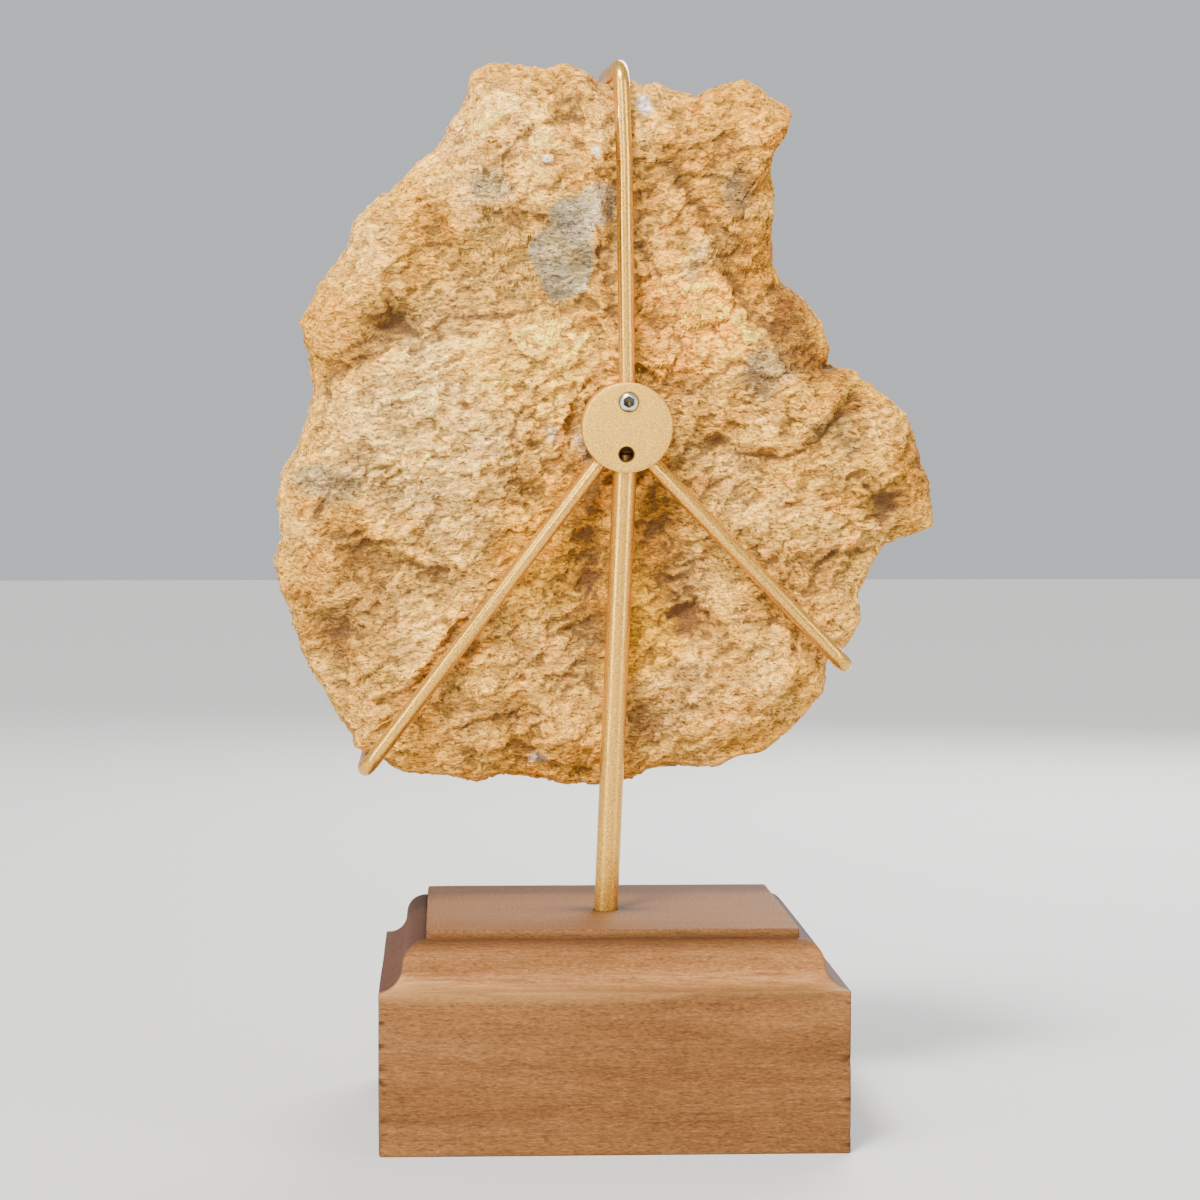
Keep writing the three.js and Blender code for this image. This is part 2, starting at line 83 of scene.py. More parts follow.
rods = {
    "postRadius": 4.0,
    "armRadius": 2.7,
    "bendRadius": 6.0,
    "sides": 48,
    "arcSteps": 20,
    "endRound": 0.5,
    "shadeStart": 15.5,  # below the hub's centre; above it the post is inside the hub and painted dark as shade
    "shadeLength": 2.5,
}
armPoints = {
    "upper_arm": [(0.2, 0, 5), (-1, 0, 88), (-2.3, 0, 118.5), (-5.5, 36.5, 116.5), (-7, 38, 99)],
    "left_arm": [(-8, 0, -10.2), (-87, 0, -114.5), (-86.2, 38, -113.2), (-77, 39.5, -102)],
    "right_arm": [(7.4, 0, -10.7), (73.7, 0, -79.8), (73, 37, -79), (64.5, 38.5, -70)],
}


def postLine():
    foot = holderMatrix.inverted() @ Vector(holderPlace["postFoot"])
    return foot, (-foot).normalized()


def toWorld(points):
    turned = np.array(holderMatrix.to_3x3()) @ np.asarray(points, float).T
    return (turned.T + np.array(holderMatrix.translation)) * mm


# Mesh helpers
def meshObject(name, vertices, faces, smooth=True):
    mesh = bpy.data.meshes.new(name)
    mesh.from_pydata([tuple(v) for v in vertices], [], faces)
    mesh.update()
    mesh.polygons.foreach_set("use_smooth", [smooth] * len(mesh.polygons))
    piece = bpy.data.objects.new(name, mesh)
    bpy.context.scene.collection.objects.link(piece)
    return piece


def meshValues(mesh, key):
    values = np.empty(len(mesh.vertices) * 3)
    mesh.vertices.foreach_get(key, values)
    return values.reshape(-1, 3)


def storeValues(mesh, name, values):
    mesh.attributes.new(name, "FLOAT", "POINT").data.foreach_set("value", values)


def around(sides):
    return np.linspace(0, 2 * math.pi, sides, endpoint=False)


def ringFaces(rows, count):
    faces = []
    for row in range(rows - 1):
        low = row * count
        for i in range(count):
            nextOne = (i + 1) % count
            faces.append((low + i, low + nextOne, low + count + nextOne, low + count + i))
    return faces


def closedRings(rings):
    count = len(rings[0])
    vertices = [tuple(v) for ring in rings for v in ring]
    faces = ringFaces(len(rings), count)
    lastRow = (len(rings) - 1) * count
    faces.append(tuple(range(count - 1, -1, -1)))
    faces.append(tuple(lastRow + i for i in range(count)))
    return vertices, faces


def closedPiece(name, rings, sharpAngle=None):
    vertices, faces = closedRings(rings)
    piece = meshObject(name, vertices, faces)
    mesh = piece.data
    work = bmesh.new()
    work.from_mesh(mesh)
    bmesh.ops.recalc_face_normals(work, faces=work.faces)
    work.to_mesh(mesh)
    work.free()
    if sharpAngle:
        mesh.set_sharp_from_angle(angle=math.radians(sharpAngle))
    return piece


def roundAlongY(profile, place, sides):
    angles = around(sides) + math.pi / 2
    return [toWorld(np.column_stack([
        place[0] + radius * np.cos(angles), np.full(sides, y), place[1] + radius * np.sin(angles)]))
        for radius, y in profile]


def cutFrom(piece, cutters, sharpAngle):
    for cutter in cutters:
        change = piece.modifiers.new("cut", "BOOLEAN")
        change.operation = "DIFFERENCE"
        change.solver = "EXACT"
        change.object = cutter
    graph = bpy.context.evaluated_depsgraph_get()
    whole = piece.data
    piece.data = bpy.data.meshes.new_from_object(piece.evaluated_get(graph))
    piece.modifiers.clear()
    bpy.data.meshes.remove(whole)
    for cutter in cutters:
        bpy.data.objects.remove(cutter)
    mesh = piece.data
    mesh.polygons.foreach_set("use_smooth", [True] * len(mesh.polygons))
    mesh.set_sharp_from_angle(angle=math.radians(sharpAngle))


def intoBox(points, node):
    low, high = (np.array(corner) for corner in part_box(node))
    middle = (points.min(axis=0) + points.max(axis=0)) / 2
    share = np.minimum(1, (high - low) / (points.max(axis=0) - points.min(axis=0)))
    return (points - middle) * share + (low + high) / 2


def finishPiece(piece, material, node):
    piece.data.materials.clear()
    piece.data.materials.append(material)
    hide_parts(node)
    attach(piece, "root")


# Material helpers
def newMaterial(name):
    material = bpy.data.materials.new(name)
    material.use_nodes = True
    tree = material.node_tree
    return material, tree, tree.nodes["Principled BSDF"]


def setInputs(tree, node, inputs):
    for key, value in inputs.items():
        if hasattr(value, "is_output"):
            tree.links.new(value, node.inputs[key])
        else:
            node.inputs[key].default_value = value


def addNode(tree, kind, inputs, **settings):
    node = tree.nodes.new(kind)
    for key, value in settings.items():
        setattr(node, key, value)
    setInputs(tree, node, inputs)
    return node


def noiseOut(tree, coords, scale, detail=4.0, rough=0.55, distort=0.0):
    node = addNode(tree, "ShaderNodeTexNoise", {
        "Vector": coords, "Scale": scale, "Detail": detail, "Roughness": rough, "Distortion": distort})
    return node.outputs[0]


def rampOut(tree, factor, stops):
    node = addNode(tree, "ShaderNodeValToRGB", {0: factor})
    elements = node.color_ramp.elements
    while len(elements) < len(stops):
        elements.new(0.5)
    for element, (position, color) in zip(elements, stops):
        element.position = position
        element.color = (color, color, color, 1) if isinstance(color, (int, float)) else (*color, 1)
    return node.outputs[0]


def mixOut(tree, factor, first, second, blend="MIX"):
    first, second = (value if hasattr(value, "is_output") else (*value, 1) for value in (first, second))
    inputs = {0: factor, 6: first, 7: second}
    return addNode(tree, "ShaderNodeMix", inputs, data_type="RGBA", blend_type=blend).outputs[2]


def tinted(tree, color, factor, stops):
    return mixOut(tree, 1.0, color, rampOut(tree, factor, stops), "MULTIPLY")


def mathOut(tree, operation, first, second=0.0):
    return addNode(tree, "ShaderNodeMath", {0: first, 1: second}, operation=operation).outputs[0]


def vectorOut(tree, operation, inputs, output=0):
    return addNode(tree, "ShaderNodeVectorMath", inputs, operation=operation).outputs[output]


def nearLevel(tree, height, level, stops):
    return rampOut(tree, mathOut(tree, "ABSOLUTE", mathOut(tree, "SUBTRACT", height, level)), stops)


def storedOut(tree, name, output="Fac"):
    return addNode(tree, "ShaderNodeAttribute", {}, attribute_name=name).outputs[output]


def bumpOut(tree, height, distance, strength=1.0):
    inputs = {"Height": height, "Distance": distance, "Strength": strength}
    return addNode(tree, "ShaderNodeBump", inputs).outputs[0]


def objectCoords(tree, scale=(1, 1, 1), turn=(0, 0, 0)):
    coords = tree.nodes.new("ShaderNodeTexCoord").outputs["Object"]
    mapping = addNode(tree, "ShaderNodeMapping", {"Vector": coords, "Scale": scale, "Rotation": turn})
    return mapping.outputs[0]


def srgb(red, green, blue):
    linear = []
    for value in (red, green, blue):
        share = value / 255
        linear.append(share / 12.92 if share <= 0.04045 else ((share + 0.055) / 1.055) ** 2.4)
    return tuple(linear)


# Rock
rock = {
    "centre": (-8.0, -2.0),
    "backDepth": 6.5,
    "frontDepth": 36.0,
    "rimBack": 13.0,
    "rimMiddle": 20.0,
    "rimFront": 27.0,
    "rimShare": 0.985,
    "bevelStart": 0.86,
    "backGap": 0.93,  # between the points of the skin
    "frontGap": 1.25,
    "grainHeight": 1.0,
    "meanRadius": 116.0,
    "hubReach": 20.0,  # the skin stays behind the hub within this radius
    "hubClearance": 7.0,
    # Painted shade that darkens the skin in its hollows and lightens it on its ridges: (rounds of smoothing,
    # weight, depth, limit)
    "hollowSizes": [(3, 0.6, 0.2, 1.6), (20, 0.5, 0.7, 1.5), (120, 0.7, 2.0, 1.5)],
    "saturation": 1.34,
    "tint": (0.86, 0.85, 0.6),
}
rockOutline = [
    (-109, 35), (-106, 23), (-104, 11), (-109, -3), (-112, -11), (-115, -17), (-117, -27), (-116, -38),
    (-118, -47), (-116, -55), (-111, -68), (-109, -76), (-104, -86), (-97, -98), (-92, -104), (-91.5, -110),
    (-87, -110.8), (-81, -114), (-75, -118), (-67, -119), (-59, -119), (-51, -121), (-40, -118), (-30, -120),
    (-19, -122), (-9, -122), (3, -120), (9, -117), (15, -116), (24, -116), (31, -117), (40, -113),
    (48, -111), (58, -103), (64, -97), (68, -92), (69, -87), (69.5, -82), (71, -77.5), (76, -75.5),
    (79, -70), (81, -66), (80, -58), (84, -48), (89, -40), (99, -37), (105, -34), (105, -22),
    (101, -14), (99, -5), (96, 3), (90, 9), (82, 15), (77, 18), (68, 20), (69, 27),
    (66, 35), (60, 43), (53, 48), (49, 55), (50, 67), (50, 78), (49, 86), (50, 93),
    (55, 102), (56, 106), (49, 110), (45, 114), (40, 116), (29, 113), (24, 110), (15, 112),
    (10, 115), (2, 115.5), (-4, 113.6), (-9, 114.5), (-13, 118), (-20, 121), (-28, 119), (-37, 120),
    (-46, 121), (-51, 118), (-53, 109), (-58, 101), (-63, 93), (-70, 87), (-79, 79), (-87, 73),
    (-91, 68), (-92, 62), (-97, 54), (-104, 45),
]
# Relief: (place, size, turn in degrees, height out of the face)
backBumps = [
    ((-58, 0), (38, 30), 10, 5.5), ((27, 36), (24, 15), -50, 5.5), ((-26, 92), (22, 26), 0, 3),
    ((78, -4), (20, 15), -30, 3), ((54, -26), (24, 14), -25, 3.5), ((40, -84), (28, 17), 10, 4.5),
    ((-58, -76), (26, 18), 35, 4), ((-20, -100), (18, 10), 0, 2.5), ((-100, 30), (9, 10), 0, 2),
    ((-78, 34), (7, 6), 20, -5), ((-99, -21), (9, 8), 0, -3.5), ((-96, -71), (9, 12), 20, -3.5),
    ((88, -26), (8, 6), 20, -5), ((6, -101), (9, 8), 0, -4), ((-13, -50), (8, 34), 0, -4),
    ((13, -46), (9, 26), 18, -4), ((24, -64), (15, 8), -35, -2.5), ((50, 34), (9, 16), 40, -3),
    ((-16, 103), (6, 9), 20, -3.5),
]
# Steps: (line, height of the right-hand side, how far it takes to fall off)
backSteps = [
    ([(-5, 116), (-8, 70), (-6, 38)], 3.2, 16),
    ([(-9, 39), (-36, 35), (-76, 26), (-106, 9)], -3.2, 22),
    ([(4, 100), (24, 66), (38, 39), (54, 19), (63, 9)], 3.6, 18),
    ([(31, -4), (44, -9), (58, -7), (68, 3), (73, 10)], -3.2, 14),
    ([(69, -44), (84, -39)], -2.4, 10),
    ([(-59, -48), (-73, -44), (-86, -37)], 3, 13),
    ([(-83, -91), (-73, -88), (-62, -80)], -2.4, 10),
    ([(-59, -109), (-36, -107), (-23, -114)], -2.4, 12),
    ([(56, -68), (54, -92)], 2.4, 12),
    ([(-24, 114), (-25, 101), (-17, 91)], 2.2, 10),
    ([(-82, 60), (-80, 42), (-75, 33)], 2.2, 12),
    ([(12, -66), (24, -58), (36, -72)], -2, 12),
]
backNoise = [(26, 2.2, 3), (11, 1.5, 7)]
rockCracks = [
    ([(-10.5, 67), (-8.2, 63), (-9, 57), (-8, 52), (-11, 46)], 1.2),
    ([(-63, 32), (-58, 35.6), (-51.6, 36), (-38.7, 37), (-32, 38.8)], 1.0),
    ([(-85.6, -38), (-76, -39.6)], 1.3), ([(-73.4, -43), (-70, -46.5), (-59.7, -47.7)], 1.3),
    ([(5, 59), (9, 54), (11, 50)], 1.0), ([(-79, 40), (-76, 33), (-70, 31)], 1.2),
    ([(80, -20), (86, -25), (92, -23)], 1.4), ([(34, -8), (44, -9.6), (52, -12), (60, -8)], 1.2),
    ([(62, -6), (68, 0), (73, 3)], 1.2), ([(64, -48), (72, -42), (80, -42)], 1.2),
    ([(-62, 109), (-55, 103)], 0.8), ([(-104, -30), (-99, -22)], 1.0),
]
frontBumps = [
    ((-8, 6), (46, 42), 0, 4), ((-24, 90), (26, 20), 0, -3), ((84, -12), (20, 18), 0, -3),
    ((30, -92), (40, 16), 10, -3), ((-98, -30), (14, 36), 0, -3),
]
frontSteps = [
    ([(-84, 60), (-52, 72), (-34, 100)], 2.6, 20),
    ([(66, -62), (40, -78), (12, -94), (-24, -100)], 2.6, 20),
]
frontNoise = [(24, 1.6, 13), (10, 1.1, 17)]


# Fossil, in the holder frame, on the slab's far side
fossil = {
    "testCentre": (-8.0, 6.0),
    "testRadius": 28.0,
    "testHeight": 18.0,
    "testSunk": 9.0,
    "bands": 5,
    "tubercleRows": ((2, 8.5), (18, 9.5), (38, 11), (60, 15)),  # (height on the dome, spread), degrees
    "spineGirth": 0.11,  # greatest radius as a share of the length
    "beadSpacing": 1.35,
    "beadLines": 15,
    "moat": 0.9,  # depth of the cleaned channel around the fossils
}
# Radius of a spine along its length, as a share of the greatest one
spineKnots = [-0.5, -0.488, -0.465, -0.435, -0.4, -0.3, -0.15, 0.02, 0.22, 0.36, 0.42, 0.47, 0.5]
spineSizes = [0.12, 0.38, 0.52, 0.5, 0.36, 0.44, 0.68, 0.88, 1.0, 0.86, 0.72, 0.45, 0.0]
# Spines: (place of the middle, turn of the thick end in degrees, length)
spinePlan = [
    ((40, 28), 12, 46), ((22, 62), 74, 42), ((-22, 66), 112, 48), ((-56, 46), 128, 42),
    ((-70, 8), 186, 46), ((-58, -34), 202, 44), ((-40, -74), 250, 48), ((-6, -64), 268, 44),
    ((32, -52), 326, 46), ((54, -14), 330, 42), ((82, -24), 78, 34), ((-90, -58), 292, 36),
]


def smoothStep(values, low, high):
    share = np.clip((values - low) / (high - low), 0, 1)
    return share * share * (3 - 2 * share)


def lattice(i, j, seed):
    value = np.sin(i * 127.1 + j * 311.7 + seed * 74.7) * 43758.5453
    return value - np.floor(value)


def flatNoise(x, y, cell, height, seed):
    i, j = np.floor(x / cell), np.floor(y / cell)
    s, t = smoothStep(x / cell - i, 0, 1), smoothStep(y / cell - j, 0, 1)
    low = lattice(i, j, seed) * (1 - s) + lattice(i + 1, j, seed) * s
    high = lattice(i, j + 1, seed) * (1 - s) + lattice(i + 1, j + 1, seed) * s
    return height * (2 * (low * (1 - t) + high * t) - 1)


def lineDistance(x, y, line):
    nearest, across = np.full(x.shape, np.inf), np.ones(x.shape)
    for (ax, ay), (bx, by) in zip(line, line[1:]):
        ex, ey = bx - ax, by - ay
        share = np.clip(((x - ax) * ex + (y - ay) * ey) / (ex * ex + ey * ey), 0, 1)
        dx, dy = x - ax - share * ex, y - ay - share * ey
        distance = np.hypot(dx, dy)
        closer = distance < nearest
        across = np.where(closer, (dx * ey - dy * ex) / math.hypot(ex, ey), across)
        nearest = np.where(closer, distance, nearest)
    return nearest, across


def relief(x, y, bumps, steps, noises, cracks, smooth):
    height, creaseShade = np.zeros(x.shape), np.zeros(x.shape)
    wander = flatNoise(x, y, 12, 1.8, 29) + flatNoise(x, y, 5, 1.0, 31) + flatNoise(x, y, 2.2, 0.4, 37)
    broken = smoothStep(flatNoise(x, y, 13, 1, 33) + flatNoise(x, y, 5, 0.5, 35), -0.1, 0.9)
    for (cx, cy), (a, b), turn, rise in bumps:
        c, s = math.cos(math.radians(turn)), math.sin(math.radians(turn))
        across, along = ((x - cx) * c + (y - cy) * s) / a, ((y - cy) * c - (x - cx) * s) / b
        height += rise * np.exp(-across ** 2 - along ** 2)
        if rise < 0:
            # painted shade in the dents
            creaseShade -= rise / 12 * np.exp(-across ** 2 - along ** 2)
    for line, rise, fade in steps:
        nearest, across = lineDistance(x + wander, y - wander, line)
        past = np.sqrt(np.maximum(nearest ** 2 - across ** 2, 0))
        width = 3.6 - 2.4 * broken + 0.7 * past
        up = smoothStep(across / width, -1, 1)
        height += rise * up * np.exp(-nearest / fade) - abs(rise) * 0.3 * np.exp(-nearest / 1.8) * broken
        # painted shade along the steps' creases
        creaseShade += 0.45 * broken * np.exp(-(nearest / 1.1) ** 2)
    for cell, rise, seed in noises:
        height += flatNoise(x, y, cell, rise, seed)
    for line, depth in cracks:
        nearest, across = lineDistance(x + 0.6 * wander, y - 0.6 * wander, line)
        height -= 1.3 * depth * np.exp(-(nearest / 1.1) ** 2) * (0.5 + 0.5 * broken)
        # painted shade in the cracks
        creaseShade += np.exp(-(nearest / 0.95) ** 2) * (0.6 + 0.4 * broken)
    return height + flakes(x, y) * (1 - smooth), creaseShade


def flakes(x, y):
    field = flatNoise(x, y, 23, 1.1, 71) + flatNoise(x, y, 10, 0.4, 73) + flatNoise(x, y, 3, 0.07, 79)
    field = field - y / 17 + x / 60
    saw = field - np.floor(field)
    lip = saw * (1 - smoothStep(saw, 0.93, 1.0)) - 0.46
    return lip * smoothStep(flatNoise(x, y, 27, 1, 83), -0.35, 0.5)


def bevel(share):
    return np.maximum(0, (share - rock["bevelStart"]) / (1 - rock["bevelStart"])) ** 1.7


def clearOfRods(x, y):
    foot = postLine()[0]
    least = np.where(np.hypot(x, y) < rock["hubReach"], rock["hubClearance"], -99.0)
    lines = [((foot.x, foot.z), rods["postRadius"])]
    lines += [(end, rods["armRadius"]) for end in ((-2, 118), (-87, -114.5), (73.7, -79.8))]
    for end, radius in lines:
        distance = lineDistance(x, y, [(0, 0), end])[0]
        least = np.maximum(least, radius + 1.2 - 0.7 * np.maximum(distance - radius - 1, 0))
    return least


def backDepth(x, y, share):
    plate = insidePatch(x, y, greyPlate, 1.0)
    height, creaseShade = relief(x, y, backBumps, backSteps, backNoise, rockCracks, plate)
    face = np.maximum(rock["backDepth"] - height, clearOfRods(x, y))
    rim = rock["rimBack"] + flatNoise(x, y, *frontNoise[1])
    fall = bevel(share)
    return face * (1 - fall) + rim * fall, creaseShade


def moatDepth(x, y):
    cx, cy = fossil["testCentre"]
    nearest = np.hypot(x - cx, y - cy) - fossil["testRadius"]
    for (sx, sy), turn, length in spinePlan:
        reachX, reachY = (0.42 * length * f(math.radians(turn)) for f in (math.cos, math.sin))
        line = [(sx - reachX, sy - reachY), (sx + reachX, sy + reachY)]
        distance = lineDistance(x, y, line)[0]
        nearest = np.minimum(nearest, distance - 0.9 * fossil["spineGirth"] * length)
    return fossil["moat"] * np.exp(-(np.maximum(nearest, 0) / 2.2) ** 2)


def frontDepth(x, y, share):
    height, creaseShade = relief(x, y, frontBumps, frontSteps, frontNoise, [], 0)
    height = height - moatDepth(x, y)
    rim = rock["rimFront"] + flatNoise(x, y, *backNoise[1])
    fall = bevel(share)
    return (rock["frontDepth"] + height) * (1 - fall) + rim * fall, creaseShade


def outlineReach(fractions):
    corners = np.array(rockOutline + rockOutline[:1], float)
    lengths = np.hypot(*np.diff(corners, axis=0).T)
    along = np.concatenate([[0], np.cumsum(lengths)])
    places = (fractions % 1) * along[-1]
    x, y = (np.interp(places, along, corners[:, k]) for k in (0, 1))
    bite = sum(amount * (0.5 + flatNoise(places, places * 0, cell, 0.5, seed))
               for cell, amount, seed in ((11, 0.7, 41), (4.1, 0.45, 43)))
    dx, dy = x - rock["centre"][0], y - rock["centre"][1]
    inwards = 1 - bite / np.hypot(dx, dy)
    return dx * inwards, dy * inwards, along[-1]


def rockRings():
    rings = []
    for face, gap in (("back", rock["backGap"]), ("front", rock["frontGap"])):
        shares = np.arange(4.0, rock["rimShare"] * rock["meanRadius"], gap) / rock["meanRadius"]
        rings.append([(share, face, gap) for share in shares])
    rims = [(rock["rimShare"] + (1 - rock["rimShare"]) * (1 - (2 * q - 1) ** 2), q, rock["backGap"])
            for q in np.linspace(0, 1, 14)]
    return rings[0] + rims + rings[1][::-1]


def rockSurface():
    points, creaseShades, rows = [], [], []
    length = outlineReach(np.zeros(1))[2]
    start = 0
    for share, kind, gap in rockRings():
        count = max(16, round(length * share / gap))
        shift = 0.5 * (len(rows) % 2)
        dx, dy, length = outlineReach((np.arange(count) + shift) / count)
        x = rock["centre"][0] + dx * share
        y = rock["centre"][1] + dy * share
        if kind == "back":
            depth, creaseShade = backDepth(x, y, share)
        elif kind == "front":
            depth, creaseShade = frontDepth(x, y, share)
        else:
            back, creaseShade = backDepth(x, y, rock["rimShare"])
            front, creaseShade = frontDepth(x, y, rock["rimShare"])
            depth, creaseShade = back * (1 - kind) + front * kind, creaseShade * 0
        rows.append((start, count, shift))
        start += count
        points.append(np.column_stack([x, depth, y]))
        creaseShades.append(creaseShade)
    return np.vstack(points), np.concatenate(creaseShades), rows


def rockFaces(rows):
    faces = []
    for (startA, countA, shiftA), (startB, countB, shiftB) in zip(rows, rows[1:]):
        i = j = 0
        while i < countA or j < countB:
            cornerA, cornerB = startA + i % countA, startB + j % countB
            if j == countB or (i < countA and (i + 1 + shiftA) / countA < (j + 1 + shiftB) / countB):
                i += 1
                faces.append((cornerA, cornerB, startA + i % countA))
            else:
                j += 1
                faces.append((cornerA, cornerB, startB + j % countB))
    first, last = rows[0], rows[-1]
    faces.append(tuple(range(first[1])))
    faces.append(tuple(last[0] + i for i in range(last[1] - 1, -1, -1)))
    return faces


def chipHeight(x, y, z, size, rise, tilt, seed):
    along, up = (x + 0.45 * z) / (2.3 * size), (z - 0.45 * x) / size
    spot = Vector((along + seed, y / size, up))
    distances, places = noise.voronoi(spot)
    cell = places[0]
    first, second, third = (math.sin(cell.dot(Vector(key))) for key in (
        (91.7, 57.3, 33.1), (41.3, 77.9, 63.7), (29.9, 51.1, 87.3)))
    slope = second * (along - cell.x) + (third * 0.8 - 1.1) * (up - cell.z)
    return rise * first + tilt * slope


def grainHeights(points, calm):
    heights = np.empty(len(points))
    for i, (x, y, z) in enumerate(points):
        broad = noise.noise(Vector((x / 13, y / 13, z / 13 + 5)))
        warp = noise.noise_vector(Vector((x / 5, y / 5, z / 4)))
        wx, wy, wz = x + 2.2 * warp.x, y + 2.2 * warp.y, z + 1.6 * warp.z
        chips = chipHeight(wx, wy, wz, 8.5, 0.05, 0.12, 3.3) + chipHeight(wx, wy, wz, 3.0, 0.02, 0.06, 7.7)
        grit = noise.noise(Vector(((x + 0.45 * z) / 3.4, y / 2, (z - 0.45 * x) / 1.7)))
        heights[i] = broad * 0.7 + (chips + grit * 0.12) * calm[i]
    return heights


def hollowDepths(mesh, points, normals, rounds):
    edges = np.empty(len(mesh.edges) * 2, int)
    mesh.edges.foreach_get("vertices", edges)
    first, second = edges[::2], edges[1::2]
    count = np.bincount(edges, minlength=len(points))[:, None]
    smooth, depths = points.copy(), []
    for turn in range(1, max(rounds) + 1):
        total = np.column_stack([
            np.bincount(first, smooth[second, k], len(points))
            + np.bincount(second, smooth[first, k], len(points)) for k in range(3)])
        smooth = total / count
        if turn in rounds:
            depths.append(np.sum((smooth - points) * normals, axis=1) / mm)
    return depths


def insidePatch(x, y, corners, soft):
    distance = lineDistance(x, y, corners + corners[:1])[0]
    inside = np.zeros(x.shape, bool)
    for (ax, ay), (bx, by) in zip(corners, corners[1:] + corners[:1]):
        crosses = ((ay > y) != (by > y)) & (x < (bx - ax) * (y - ay) / (by - ay + 1e-9) + ax)
        inside ^= crosses
    return smoothStep(np.where(inside, distance, -distance), -soft, soft)


greyPlate = [
    (-25.8, 72.4), (-21.7, 75.2), (-16.1, 75.6), (-14.1, 78.9), (-8.8, 80.8), (-4.8, 80.3), (-3.5, 76),
    (-3.9, 68.7), (-7.2, 66.6), (-10.4, 67.1), (-11.2, 64.7), (-10.9, 58.2), (-11.5, 51.7), (-12.8, 45.3),
    (-17.7, 42.8), (-24.1, 41.2), (-28.2, 44.5), (-29, 50.1), (-32.2, 56.6), (-32.2, 60.6), (-28.2, 64.7),
    (-25.8, 68.7),
]
# Stains and painted shade: (place, size, colour, strength)
rockStainsAndShade = [
    ((-67, -2), (36, 34), (222, 190, 146), 0.85), ((-97, -58), (20, 26), (140, 106, 68), 0.7),
    ((-42, 90), (24, 28), (222, 184, 138), 0.65), ((24, 34), (22, 18), (246, 182, 116), 0.9),
    ((4, -67), (18, 30), (214, 166, 92), 0.8), ((-29, -44), (18, 26), (212, 166, 98), 0.7),
    ((-26, 18), (28, 20), (238, 192, 128), 0.85), ((34, 93), (22, 26), (184, 138, 84), 0.8),
    ((44, 55), (13, 18), (178, 128, 70), 0.8), ((56, 36), (10, 15), (124, 90, 50), 0.9),
    ((57, -57), (20, 18), (178, 132, 82), 0.6), ((24, -91), (28, 14), (186, 152, 112), 0.7),
    ((-30, -78), (24, 20), (196, 158, 110), 0.6), ((-44, 79), (9, 6), (150, 136, 118), 0.85),
    ((-47, 67), (5, 5), (170, 142, 104), 0.7), ((37, 79), (6, 8), (146, 126, 106), 0.8),
    ((46, 19), (9, 9), (148, 132, 114), 0.8), ((24, 53), (7, 6), (170, 150, 124), 0.7),
    ((-99, -21), (10, 9), (148, 134, 114), 0.8), ((71, -4), (9, 8), (156, 134, 102), 0.7),
    ((-81, 36), (14, 10), (168, 142, 100), 0.6), ((84, -22), (14, 10), (150, 118, 74), 0.7),
    ((-12, -7), (4, 7), (152, 140, 148), 0.7), ((5.8, 107), (2.4, 3.6), (240, 232, 244), 1.0),
    ((-26, 87.6), (1.6, 1.2), (236, 228, 236), 1.0), ((-10, 91), (1.3, 1.5), (236, 228, 236), 1.0),
    ((-29, -112), (3.5, 1.8), (232, 222, 232), 0.9), ((-50, -64), (2.6, 1.8), (226, 214, 218), 0.8),
    ((-24, -2), (3, 4), (232, 216, 214), 0.6),
    # painted shade: from here on the darker brown patches stand for shade in the valleys beside the post,
    # under the hub and in other hollows
    ((-9, -52), (8, 30), (132, 92, 48), 0.6), ((11, -33), (9, 20), (130, 88, 44), 0.6),
    ((-16, -22), (9, 12), (150, 108, 58), 0.5), ((24, -66), (8, 6), (150, 96, 52), 0.5),
    ((64, 22), (12, 9), (150, 106, 58), 0.6), ((14, 82), (8, 26), (160, 118, 72), 0.6),
    ((99, -18), (12, 18), (146, 106, 62), 0.65),
    ((-88, 30), (14, 16), (170, 132, 88), 0.5), ((-88, -84), (14, 20), (160, 124, 80), 0.5),
    ((-20, -114), (34, 7), (140, 102, 62), 0.55), ((-44, -98), (30, 12), (160, 120, 76), 0.6),
    ((-62, 96), (8, 10), (160, 124, 90), 0.4),
]
rockGround = (200, 158, 102)
rockOrange = (182, 130, 74)
rockCream = (218, 188, 146)


